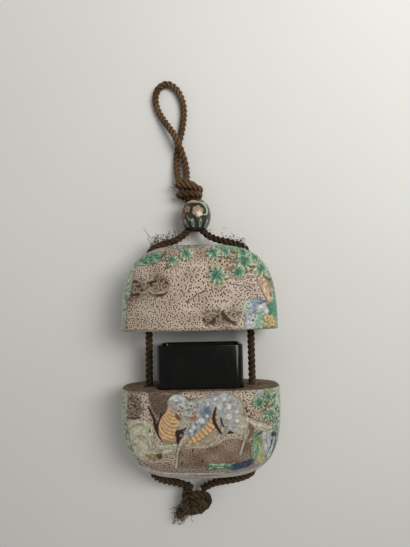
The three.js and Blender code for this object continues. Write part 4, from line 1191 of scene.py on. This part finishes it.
        glaze.line([(x, up, 0.25), (x + 0.1, up, 0.25)], "#6a3f2c", 0.9)
    foliage(glaze, [(22.4, -20.4), (24, -18.4), (26.8, -17.6), (27.6, -20), (26.4, -22.4), (23.4, -22.4)], 17,
            [TEAL, SEA_GREEN, DEEP_TEAL], 1.6, 8)
    leaf_shadows(glaze, LOWER_LEAVES)
    leaflets(glaze, [(19.4, -11.6), (27.8, -11.6), (28, -23.6), (23, -23), (21.6, -19.6), (18.6, -17.4)], 24,
             [YELLOW, INK, MINT, SEA_GREEN, WHITE_GLAZE, OCHRE, INK], 1.5, 40)
    for x, up in [(24.5, -14.5), (23.6, -15.4), (16.9, -18.6), (17.6, -20.6)]:
        glaze.lay(soft(0.55 - glaze.away(x, up), 0.3), INK, 0.95)
    marbled(
        glaze, glaze.in_patch([(18.8, -26.4), (18.4, -36), (21, -39), (25, -38.4), (28.6, -32), (28.8, -25.6),
                               (24, -25)]), [SEA_GREEN, INK, MINT, WHITE_GLAZE, DEEP_TEAL], 1.6, 82, 0.5,
    )
    rock(glaze, [([(19.2, -27), (19, -31), (19.4, -35), (21.2, -35.4), (21.4, -30.6), (21, -26.6)],
                  [SEA_GREEN, MINT, TEAL], 1.0),
                 ([(20.8, -28.6), (20.6, -33), (22, -35.4), (23.2, -32.6), (22.8, -29.4)],
                  [LIME, "#a8a36a", SEA_GREEN], 1.2),
                 ([(22.6, -26), (22.8, -30.6), (23.6, -34.6), (25.6, -33), (26.4, -28.6), (25.2, -25.8)],
                  [WHITE_GLAZE, LILAC, "#aab3ad"], 1.4),
                 ([(26.2, -27.4), (25.6, -32), (24, -36.4), (25.4, -37.4), (27.4, -33), (28, -28.6)],
                  [NAVY, COBALT_GREY, MINT], 1.0),
                 ([(19.8, -35.4), (20, -38), (22.6, -38.6), (23.4, -36)], ["#b3a888", PEACH, LIME], 0.7)])
    for stops, spread, tints, seed, count, length in [
        ([(20, -27), (20, -31), (20.4, -35)], 0.9, [SEA_GREEN, MINT, TEAL, LIME], 93, 22, 2.4),
        ([(22, -28.6), (21.8, -32), (22.4, -35)], 0.6, [LIME, "#a8a36a", MINT], 94, 12, 2.4),
        ([(24.4, -26), (24.6, -30), (24, -34)], 0.9, [WHITE_GLAZE, LILAC, COBALT_GREY, "#d6d6d0"], 95, 22,
         2.6),
        ([(27.2, -27.6), (26.6, -32), (24.6, -37)], 0.7, [NAVY, MINT, "#34466e", WHITE_GLAZE], 96, 24, 2.4),
    ]:
        strokes(glaze, stops, spread, tints, seed, count, length, under=0.2)
    glaze.line([(19.8, -27.7, 0.15), (21.4, -26.7, 0.32), (22.8, -25.8, 0.15)], INK, 0.6, 0.9)
    beast(glaze)


def back_relief(glaze, side):
    """The back is plainer: a cloud, and banks of leaves at the edges."""
    middle = BACK_U
    cloud(glaze,
          [(middle + x, side * y) for x, y in [(-14, 24), (-8, 28), (2, 27), (8, 24), (2, 21), (-8, 21)]],
          [((middle - 7, side * 24.4), 2.2, 0.4, 1), ((middle + 2.4, side * 24), 1.8, 2.2, -1)],
          [[(middle - 12, side * 23, 0.4), (middle - 3, side * 22, 0.6), (middle + 5, side * 22.6, 0.3)]],
          [[(middle - 15, side * 22, 0.2), (middle - 6, side * 20.4, 0.3), (middle + 6, side * 21.4, 0.15)]])
    for edge, seed in ((-1, 41), (1, 42)):
        patch = [(middle + edge * x, side * y) for x,
                 y in [(22, 12), (20, 20), (22, 30), (18, 38), (26, 37), (29.4, 26), (29.4, 12)]]
        foliage(glaze, patch, seed, [SEA_GREEN, TEAL, MINT, SEA_FOAM], 1.9, 20)


RELIEF = {"lid": lid_relief, "lower_case": lower_relief}


def glazed(half, places):
    """What is painted and carved on a half, at each of these places."""
    glaze = Glaze(places)
    RELIEF[half.node](glaze)
    back_relief(glaze, half.side)
    return glaze


# ---- The porcelain halves ----


def rounded_ring(low, high, radius, corner_steps=6):
    """Points (x, z) round a block's section, with round corners."""
    middle_x, middle_z = (low[0] + high[0]) / 2, (low[2] + high[2]) / 2
    reach_x, reach_z = (high[0] - low[0]) / 2 - radius, (high[2] - low[2]) / 2 - radius
    ring = []
    for turn, (side_x, side_z) in enumerate([(1, 1), (-1, 1), (-1, -1), (1, -1)]):
        for angle in np.linspace(turn, turn + 1, corner_steps + 1) * math.pi / 2:
            x = middle_x + side_x * reach_x + radius * math.cos(angle)
            ring.append((x, middle_z + side_z * reach_z + radius * math.sin(angle)))
    return np.array(ring)


def prism(ring, low, high):
    """A closed prism along Y from a ring of (x, z)."""
    count = len(ring)
    places = [(x, low, z) for x, z in ring] + [(x, high, z) for x, z in ring]
    sides = [(i, i + count, (i + 1) % count + count, (i + 1) % count) for i in range(count)]
    return places, sides + [tuple(range(count)), tuple(range(count, 2 * count))]


def ring_faces(rings, count):
    """The faces between rings of that many points each, the first ring's points coming first."""
    index = np.arange(rings * count).reshape(rings, count)
    after = np.roll(index, -1, axis=1)
    return np.stack([index[:-1], index[1:], after[1:], after[:-1]], axis=-1).reshape(-1, 4).tolist(), index


def closed_rings(rings, count, ends):
    """Points and faces of rings, closed by a fan to a point at each end."""
    faces, index = ring_faces(len(rings) // count, count)
    faces += [(a, b, len(rings)) for a, b in zip(index[0], np.roll(index[0], -1))]
    faces += [(a, b, len(rings) + 1) for a, b in zip(index[-1], np.roll(index[-1], -1))]
    return np.vstack([rings, ends]), faces


def frames(path):
    """Two directions square to a path at each of its points, turning no more than the path does."""
    along = np.gradient(path, axis=0)
    along /= np.linalg.norm(along, axis=1)[:, None]
    across = np.zeros_like(along)
    first = np.cross(along[0], [0.0, 0.3, 1.0])
    across[0] = first / np.linalg.norm(first)
    for i in range(1, len(path)):
        turned = across[i - 1] - along[i] * np.dot(across[i - 1], along[i])
        across[i] = turned / np.linalg.norm(turned)
    return across, np.cross(along, across)


def tube(path, radius, sides=16):
    """A closed round tube along a path."""
    path = np.asarray(path, float)
    across, up = frames(path)
    angle = np.linspace(0, 2 * math.pi, sides + 1)[:-1, None]
    rings = path[:, None] + radius * (np.cos(angle) * across[:, None] + np.sin(angle) * up[:, None])
    return closed_rings(rings.reshape(-1, 3), sides, path[[0, -1]])


def joined(parts):
    """Several (places, faces) as one."""
    places, faces, offset = [], [], 0
    for some_places, some_faces in parts:
        places.append(np.asarray(some_places, float))
        faces += [tuple(int(i) + offset for i in face) for face in some_faces]
        offset += len(some_places)
    return np.vstack(places), faces


def cut(piece, *cutters):
    """Cuts solids out of a piece, and removes them."""
    for cutter in cutters:
        change = piece.modifiers.new("cut", "BOOLEAN")
        change.object, change.operation, change.solver = cutter, "DIFFERENCE", "MANIFOLD"
    dressed = piece.evaluated_get(bpy.context.evaluated_depsgraph_get())
    piece.data = bpy.data.meshes.new_from_object(dressed)
    piece.modifiers.clear()
    for cutter in cutters:
        bpy.data.objects.remove(cutter)


def keep_values(mesh, name, values):
    """Keeps a number, a vector or a colour at each of a mesh's points."""
    kind, field = {1: ("FLOAT", "value"), 3: ("FLOAT_VECTOR", "vector"), 4: ("FLOAT_COLOR", "color")}[
        1 if values.ndim == 1 else values.shape[1]
    ]
    attribute = mesh.attributes.new(name, kind, "POINT")
    attribute.data.foreach_set(field, values.astype(np.float32).ravel())


def places_of(mesh):
    """A mesh's points, in millimetres."""
    places = np.empty(len(mesh.vertices) * 3, np.float32)
    mesh.vertices.foreach_get("co", places)
    return places.reshape(-1, 3).astype(float) / MM


def hollows(height, rows, count, reach=4):
    """How far each point of the grid lies below those around it, from -1 to 1: hollows get painted shade,
    with some grime, and raised points a painted highlight.
    """
    around = height.reshape(rows, count)
    for _ in range(2):
        around = sum(np.roll(around, k, axis=1) for k in range(-reach, reach + 1)) / (2 * reach + 1)
        padded = np.pad(around, ((reach, reach), (0, 0)), mode="edge")
        around = sum(padded[k:k + rows] for k in range(2 * reach + 1)) / (2 * reach + 1)
    return np.clip((around.ravel() - height) / HOLLOW_DEPTH, -1, 1)


def porcelain_half(node):
    """The lid or the lower case: carved and glazed outside, bare brown clay on the rim and inside."""
    half = Half(node)
    start, count, rows = half.grid()
    glaze = glazed(half, start)
    relief_shade = hollows(glaze.height, rows, count)
    # Painted relief shading: hollows darker as painted shade with some grime, raised points lighter as a
    # painted highlight.
    glaze.colour *= (1 - np.where(relief_shade > 0, HOLLOW_SHADE_DARKENS, RIDGE_HIGHLIGHT_LIGHTENS) * relief_shade)[:, None]
    # The same painted shade of the hollows also darkens the bare ground.
    glaze.soil = np.clip(glaze.soil + relief_shade, 0, 1)
    off_rim = np.clip((half.side * start[:, 1] - RIM_Y) / CLEAR_OF_EDGES, 0, 1)
    off_table = np.clip(start[:, 2] / CLEAR_OF_EDGES, 0, 1)
    carved = start + half.out(start) * (glaze.height * off_rim * off_table)[:, None]
    carved[:, 2] = np.maximum(carved[:, 2], 0)
    ends = [[0, half.side * RIM_Y, MIDDLE_Z], [0, half.side * (RIM_Y + HALF_LENGTH), MIDDLE_Z]]
    shell = mesh_piece(f"{node}_porcelain", *closed_rings(carved, count, ends), [ENAMEL, CLAY])
    cut(shell, well_cutter(half), *cord_cutters(half))
    mesh = shell.data
    places = places_of(mesh)
    tree = KDTree(len(carved))
    for number, place in enumerate(carved):
        tree.insert(place, number)
    tree.balance()
    nearest = np.array([tree.find(place)[1] for place in places])
    keep_values(mesh, "enamel", np.column_stack([glaze.colour, glaze.cover])[nearest])
    keep_values(mesh, "plan", glaze.plan[nearest])
    for name in ("soil", "coarse", "dapple"):
        keep_values(mesh, name, getattr(glaze, name)[nearest])
    x, y, z = places.T
    bare = (half.level(x, y, z) < BARE_LEVEL) | (half.side * y < RIM_Y + 0.03)
    inside = [int(bare[list(face.vertices)].all()) for face in mesh.polygons]
    mesh.polygons.foreach_set("material_index", np.array(inside, np.int32))
    mesh.shade_smooth()
    mesh.set_sharp_from_angle(angle=math.radians(CARVED_EDGE))
    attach(shell, "root")
    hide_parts(node)


def well_cutter(half):
    """The well that the black box stands in."""
    gap = WELL_GAP[half.node]
    ends = [half.side * (RIM_Y - 1), half.side * (RIM_Y + HALF_LENGTH - END_WALL)]
    ring = rounded_ring(BOX_LOW - gap, BOX_HIGH + gap, BOX_RADIUS + gap)
    return mesh_piece("well", *prism(ring, min(ends), max(ends)), CLAY)


def cord_cutters(half):
    """The straight channels down the sides of the well, and the slanting holes where the cords come out."""
    angle = np.linspace(0, 2 * math.pi, 33)[:-1]
    ends = [half.side * (RIM_Y - 2), half.side * (RIM_Y + HALF_LENGTH - 2)]
    channels, exits = [], []
    for side in (-1, 1):
        ring = [side * CHANNEL_X, MIDDLE_Z] + CHANNEL_RADIUS * np.column_stack([np.cos(angle), np.sin(angle)])
        channels.append(prism(ring, min(ends), max(ends)))
        exits.append(tube(smooth_line(side_cord(side), 0.8, 3), CORD_RADIUS + 0.6))
    return mesh_piece("channels", *joined(channels), CLAY), mesh_piece("exits", *joined(exits), CLAY)


# ---- Maple leaves, modelled apart and laid on the case ----

LEAF_EDGE = 0.45  # height of a leaf's edge
LEAF_CROWN = 0.55  # and of its middle over that
VEIN = 0.22
LEAF_WAVE = 0.12
LOBE_STEPS = 8


def rosette(half, random, x, y, size, facing, low, tints):
    """One layer of a leaf: lobes round a raised middle, each with its pale vein and painted shade in the
    notch beside it.
    """
    lobes = int(random.integers(8, 11))
    turn, squeeze = random.uniform(0, 2 * math.pi), random.uniform(0.84, 1)
    steps = lobes * LOBE_STEPS
    angle = np.linspace(0, 2 * math.pi, steps + 1)[:-1]
    # 0 along a lobe's vein and 1 between two lobes.
    off_vein = np.abs((angle * lobes / (2 * math.pi)) % 1 * 2 - 1)
    longer = np.repeat(random.uniform(0.66, 1.14, lobes), LOBE_STEPS)
    reach = size * (0.48 + 0.52 * (1 - off_vein) * longer)
    rings = np.array([(0.06, 0), (0.25, 0), (0.42, 0), (0.58, 0), (0.72, 0), (0.84, 0), (0.94, -0.02),
                      (1, -0.14), (1, -1.3)])
    share, drop = rings[:, :1], rings[:, 1:]
    u = (x + share * reach * np.cos(angle + turn)).ravel()
    v = (y + share * reach * squeeze * np.sin(angle + turn)).ravel()
    vein = np.exp(-(share * reach * off_vein * math.pi / lobes / 0.2) ** 2)
    height = low + LEAF_EDGE + LEAF_CROWN * (1 - share) ** 1.2 + VEIN * vein * share
    height = height + LEAF_WAVE * np.sin(3 * angle) * share + drop
    base = half.front(u, v, facing)
    out = half.out(base)
    places = base + out * height.ravel()[:, None]
    ends = [places[0] + out[0] * 0.02, (base[-steps:] - 1.3 * out[-steps:]).mean(axis=0)]
    places, faces = closed_rings(places, steps, ends)
    middle, green, pale, rim = (np.array(colour(tint)[:3]) for tint in tints)
    share = (share + 0 * angle)[..., None]
    tint = middle + (green - middle) * np.clip(2.6 * share - 0.9, 0, 1)
    tint = tint + (pale - tint) * np.clip(3.4 * share - 2.1, 0, 0.85)
    tint = tint + (rim - tint) * np.clip(8 * share - 7, 0, 0.9)
    # Painted shade in the notches between lobes; the rest of the leaf is made a little lighter.
    gap = np.clip(1.6 * off_vein - 0.5, 0, 1) * np.clip(3 * share[..., 0] - 1.2, 0, 1)
    tint = tint * (1.15 - 0.6 * gap)[..., None]
    tint = tint + (pale - tint) * (0.4 * vein * np.clip(share[..., 0] * 3 - 0.6, 0, 1))[..., None]
    return places, faces, np.vstack([tint.reshape(-1, 3), [middle, middle]])


def maple_leaf(half, random, x, y, size, facing):
    """One leaf: a yellowed layer of lobes beneath, and a green one over it."""
    below = rosette(
        half, random, x + 0.1, y - 0.16 * size, 1.02 * size, facing, -0.3, (INK, SEA_GREEN, LEAF_RIM, YELLOW),
    )
    above = rosette(half, random, x, y, 0.9 * size, facing, 0, (DEEP_TEAL, TEAL, MINT, "#b3c4a8"))
    return joined([below[:2], above[:2]]), np.vstack([below[2], above[2]])


def leaf_spray(name, node, leaves, seed, facing=1):
    """Leaves that lie on a half of the case, as one piece."""
    random, half = np.random.default_rng(seed), Half(node)
    made = [maple_leaf(half, random, *leaf, facing) for leaf in leaves]
    spray = mesh_piece(name, *joined([leaf for leaf, _ in made]), LEAF_ENAMEL, sharp_over=70)
    tints = np.vstack([tints for _, tints in made])
    keep_values(spray.data, "enamel", np.column_stack([tints, np.ones(len(tints))]))
    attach(spray, "root")


# ---- Cords and knots ----


def rope(path, radius=ROPE_RADIUS, phase=0.0, taper=0.0):
    """Three strands laid together along a path: points, faces, and each point's place on its strand."""
    line = smooth_line(path, ROPE_STEP, 3)
    along = np.concatenate([[0], np.cumsum(np.linalg.norm(np.diff(line, axis=0), axis=1))])
    across, up = frames(line)
    angle = np.linspace(0, 2 * math.pi, ROPE_SIDES + 1)[:-1]
    off = (angle + math.pi / 3) % (2 * math.pi / 3) - math.pi / 3
    strand, middle = 0.52, 0.48  # of the rope's radius: a strand's own, and how far out its middle lies
    profile = middle * np.cos(off) + np.sqrt(strand ** 2 - (middle * np.sin(off)) ** 2)
    turned = angle + (2 * math.pi * along / LAY + phase)[:, None]
    reach = radius * profile * (1 - taper * along / along[-1])[:, None]
    rings = (line[:, None] + (reach * np.cos(turned))[..., None] * across[:, None]
             + (reach * np.sin(turned))[..., None] * up[:, None])
    places, faces = closed_rings(rings.reshape(-1, 3), ROPE_SIDES, line[[0, -1]])
    zero = np.zeros((len(line), ROPE_SIDES))
    thread = np.stack([zero + along[:, None] + 40 * phase, zero + off * radius, zero + profile], axis=-1)
    return places, faces, np.vstack([thread.reshape(-1, 3), [[0, 0, 1], [along[-1], 0, 1]]])


def rope_piece(name, node, ropes, material):
    """Ropes as one piece of silk, which takes the place of a solid."""
    piece = mesh_piece(name, *joined([rope[:2] for rope in ropes]), material)
    keep_values(piece.data, "thread", np.vstack([rope[2] for rope in ropes]))
    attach(piece, "root")
    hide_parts(node)
    return piece


def free_cord(name, node, path, material, phase):
    """A cord along its route."""
    piece = rope_piece(name, node, [rope(path, phase=phase)], material)
    line = smooth_line(path, 1.0, 3)


def turn_round(middle, reach, lean, climb=1.0):
    """A turn of cord round a knot, its ends hidden underneath: reach is (across, up)."""
    points = []
    for share in np.linspace(0, 1, 15):
        angle = math.radians(-80 + 340 * share)
        x = reach[0] * math.cos(angle)
        points.append((middle[0] + x, middle[1] + x * math.tan(lean) + climb * (share - 0.5),
                       middle[2] + reach[1] * math.sin(angle)))
    return points


def upper_knot():
    """Two tight slanting turns over the cords, and the end of a third."""
    x, y, z = UPPER_KNOT
    fat = CORD_RADIUS + 0.15
    return rope_piece(
        "upper_knot_turns", "upper_knot",
        [rope(turn_round((x, y + 1.7, z), (4.7, 3.1), -0.2), fat, 0.6),
         rope(turn_round((x, y - 1.8, z), (4.5, 3.1), -0.1, -1), fat, 1.9),
         rope([(x - 4.2, y + 3.4, z - 1), (x - 2.6, y + 3.6, z + 1.6), (x + 0.6, y + 2.9, z + 1.8),
               (x + 2.6, y + 2.2, z)], fat, 2.6),
         rope([(x - 3.6, y + 3.4, z), (x - 1.6, y, z), (x + 0.9, y - 3.2, z + 0.4)], 2.2, 0.3),
         rope([(x + 0.4, y + 3.2, z - 0.4), (x + 0.9, y, z), (x + 2.4, y - 3.2, z + 0.6)], 2.2, 1.1)],
        FADED_SILK,
    )


def lower_knot():
    """The knot that ties the two cords: bands up its left and over its top and right, and a frayed end."""
    x, y, _ = LOWER_KNOT
    fat = CORD_RADIUS + 0.25
    return rope_piece(
        "lower_knot_turns", "lower_knot",
        [rope([(x - 2.2, y - 5.4, 2), (x - 3.8, y - 4.4, 4.4), (x - 4.6, y - 1.6, 6.6),
               (x - 4.6, y + 1.4, 6.6), (x - 4, y + 3.8, 4.6), (x - 3, y + 4.4, 2.2)], fat + 0.1, 0.2),
         rope([(x - 3.2, y + 2, 6), (x - 0.8, y + 3.1, 7.9), (x + 2, y + 2.8, 7.5), (x + 4, y + 1.3, 6),
               (x + 4.4, y - 1.2, 4.4), (x + 3.2, y - 3.4, 3.2), (x + 0.6, y - 4.6, 2.4)], fat, 1.1),
         rope([(x - 3.4, y - 0.4, 6), (x - 0.6, y + 0.5, 8), (x + 1.8, y - 0.4, 7.2), (x + 2.8, y - 2.6, 5),
               (x + 1.2, y - 4.6, 3.2), (x - 1.4, y - 5.4, 2.4)], fat, 2.2),
         rope([(x - 2.8, y - 3, 5.6), (x - 0.8, y - 2.6, 6.6), (x + 1, y - 4, 5), (x + 1.2, y - 5, 3)], fat,
              0.7), rope([(x + 3.6, y + 0.4, 4), (x, y - 0.4, 4.6), (x - 2.4, y - 2.4, 4.2),
                          (x - 5, y - 4.8, 3.6), (x - 7.4, y - 6.8, 2.8)], 2.5, 1.6, 0.3),
         rope([(x + 1, y - 3, 5.2), (x - 1.4, y - 4.4, 4.4), (x - 3.6, y - 5.2, 3.4), (x - 5.6, y - 6, 2.6)],
              2.1, 2.6, 0.3)], SILK,
    )


def frayed_silk(name, tufts, seed):
    """Broken filaments: each tuft is (middle, spread, the way they lie, how many, longest)."""
    random, parts = np.random.default_rng(seed), []
    for middle, spread, way, count, longest in tufts:
        for _ in range(count):
            point = np.array(middle) + random.normal(0, 1, 3) * spread
            heading = np.array(way, float) + random.normal(0, 0.45, 3)
            curl_axis = random.normal(0, 1, 3)
            curl_axis *= random.uniform(0.15, 0.7) / np.linalg.norm(curl_axis)
            reach = longest * random.uniform(0.4, 1.1) / 12
            points = [point]
            for _ in range(12):
                heading = heading / np.linalg.norm(heading) + np.cross(
                    curl_axis, heading,
                ) + random.normal(0, 0.12, 3)
                points.append(points[-1] + heading / np.linalg.norm(heading) * reach)
            points = np.array(points)
            points[:, 2] = np.maximum(points[:, 2], FILAMENT)
            parts.append(tube(points, FILAMENT * random.uniform(0.7, 1.2), 4))
    tuft = mesh_piece(name, *joined(parts), LOOSE_SILK)
    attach(tuft, "root")


# ---- The bead and the black box ----


def bead_flowers(glaze):
    """Flowers round the bead, swirls over them, and a row of white drops below."""
    for x, y, size, petals, petal, heart in [
        (1.4, 0.6, 2.6, 6, "#9c866d", "#6b4a36"), (-7.4, -1.6, 3.3, 5, "#824a55", "#5a2431"),
        (-7.4, 2.6, 2.2, 5, "#8a8c76", "#9b5560"), (-3.4, 1.6, 1.7, 5, "#8d7968", "#5d3c2a"),
        (12.6, 0.4, 2.8, 6, "#b08f72", "#5d3c2a"), (18.4, -0.6, 2.6, 5, "#7d3f4c", "#a5916f"),
        (-13.4, 0.4, 2.8, 6, "#a5916f", "#5d3c2a"),
    ]:
        flower(glaze, x, y, size, petals, petal, heart)
    for x in (-1.2, 7.6, 15, -16, -9):
        glaze.line([(x - 2.6, 4.6, 0.3), (x, 5.1, 0.7), (x + 2.8, 4.6, 0.45)], "#b39a80", 0.25)
    for stops, tint in [
        ([(2.4, 4.9, 0.3), (4.8, 3.8, 0.55), (6, 1.6, 0.5), (5.4, -0.4, 0.42), (4, -0.8, 0.25)], "#a9bca8"),
        ([(5.6, 4.4, 0.35), (8, 3.2, 0.7), (8.8, 1.2, 0.4)], "#6f9c7c"),
        ([(-3.4, -1.2, 0.3), (-2.6, -2.8, 0.5), (-0.6, -3.2, 0.3)], "#6d8a62"),
        ([(-14.6, 4, 0.3), (-11.6, 3, 0.6), (-10.6, 0.8, 0.3)], "#9db39c"),
    ]:
        glaze.line(stops, tint, 0.3)
    for x in -19.4 + 3.7 * np.arange(11):
        glaze.line([(x, -5, 0.8), (x - 0.1, -3.5, 0.65), (x - 0.2, -2.4, 0.2)], "#aab6ac", 0.25, 0.9, 0.3)
        glaze.line([(x - 0.1, -4.9, 0.34), (x, -3.7, 0.3)], "#1a2523", 0.25)


def bead():
    """The bead, turned with a wide bore, its enamel flowers standing a little proud."""
    radius, half_length, bore = 1.03 * (BEAD_HIGH[2] - BEAD[2]), BEAD_HIGH[1] - BEAD[1], 3.1
    angle = np.linspace(math.asin(bore / radius), math.pi - math.asin(bore / radius), 61)
    outer = np.column_stack([
        radius * np.sin(angle) ** 0.72, (half_length - 0.3) * -np.cos(angle) / math.cos(angle[0]),
    ])
    bore_wall = np.column_stack(
        [np.full(9, bore - 0.25), np.linspace(half_length - 0.6, 0.6 - half_length, 9)]
    )
    profile = np.vstack([outer, bore_wall])
    around = np.linspace(-math.pi, math.pi, 129)[:-1]
    places = np.array([(r * math.sin(a), y, r * math.cos(a)) for r, y in profile for a in around])
    u, v = np.tile(around * radius, len(profile)), np.repeat(profile[:, 1], len(around))
    glaze = Glaze(np.column_stack([u, v, np.full(len(u), EDGE_Z)]))
    bead_flowers(glaze)
    outside = np.repeat(np.arange(len(profile)) < len(outer), len(around))
    out = places * [1, 0.8, 1]
    out /= np.linalg.norm(out, axis=1)[:, None]
    places += BEAD + out * (glaze.height * outside)[:, None]
    faces, index = ring_faces(len(profile), len(around))
    faces += [(a, b, d, c) for a, b, c,
              d in zip(index[-1], index[0], np.roll(index[-1], -1), np.roll(index[0], -1))]
    piece = mesh_piece("flowered_bead", places, faces, BEAD_GLAZE)
    keep_values(piece.data, "enamel", np.column_stack([glaze.colour, glaze.cover * outside]))
    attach(piece, "root")
    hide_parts("bead")
    return piece


def black_box():
    """The open lacquered box, its edges rubbed round."""
    low, high = BOX_LOW, BOX_HIGH
    loops = []
    for inset, y in [
        (0.9, low[1]), (0.26, low[1] + 0.26), (0, low[1] + 0.9), (0, high[1] - 0.5), (0.1, high[1] - 0.18),
        (0.35, high[1] - 0.03), (0.7, high[1]), (1.05, high[1] - 0.03), (1.3, high[1] - 0.18),
        (BOX_WALL, high[1] - 0.5), (BOX_WALL, low[1] + BOX_FLOOR + 0.8),
        (BOX_WALL + 0.24, low[1] + BOX_FLOOR + 0.24), (BOX_WALL + 0.8, low[1] + BOX_FLOOR),
    ]:
        ring = rounded_ring(low + inset, high - inset, max(0.5, BOX_RADIUS - inset), 9)
        loops.append(np.column_stack([ring[:, 0], np.full(len(ring), y), ring[:, 1]]))
    faces, index = ring_faces(len(loops), len(loops[0]))
    piece = mesh_piece("lacquered_box", np.vstack(loops), faces + [tuple(index[0]), tuple(index[-1])],
                       LACQUER, sharp_over=40)
    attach(piece, "root")
    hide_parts("inner_box")


# ---- The whole scene ----

set_camera()
strung = [lower_knot(), bead(), upper_knot()]
free_cord("left_silk_cord", "left_cord", side_cord(-1), SILK, 0.0)
free_cord("right_silk_cord", "right_cord", side_cord(1), SILK, 1.3)
free_cord("silk_loop", "cord_loop", LOOP, FADED_SILK, 0.7)
frayed_silk("frayed_silk_below", [
    ((-9.6, -64.4, 2.6), 0.9, (-0.7, -0.7, -0.2), 90, 5.5),
    ((-7.2, -63.4, 3), 0.9, (-0.2, -0.9, -0.1), 60, 4),
    ((-4, -62, 3), 0.8, (0.3, -0.9, -0.1), 12, 5),
], 5)
frayed_silk("frayed_silk_above", [
    ((-16.8, 46.4, 11.4), 1.3, (-0.1, 0.8, 0.2), 36, 6.2),
    ((-13.2, 47.6, 11), 1.3, (0.3, 0.8, 0.2), 38, 6),
    ((-9.4, 49.2, 10), 1.0, (0.3, 0.8, 0.2), 14, 5.5),
    ((12.2, 47.2, 10.8), 1.7, (0.6, 0.3, 0.3), 26, 4.2),
    ((16.6, 45.8, 12), 1.0, (0.8, 0.3, 0.2), 24, 5),
    ((5.4, 49.4, 9.6), 0.7, (-0.5, -0.8, 0.5), 8, 8),
    ((-9.4, 72.6, 5), 0.7, (-0.8, 0.4, 0.1), 12, 2.6),
], 6)
porcelain_half("lid")
porcelain_half("lower_case")
leaf_spray("lid_maple_leaves", "lid", LID_LEAVES, 2)
leaf_spray("lid_back_maple_leaves", "lid", LID_BACK_LEAVES, 3, -1)
leaf_spray("lower_maple_leaves", "lower_case", LOWER_LEAVES, 4)
leaf_spray("lower_back_maple_leaves", "lower_case", LOWER_BACK_LEAVES, 5, -1)
black_box()
set_stage()
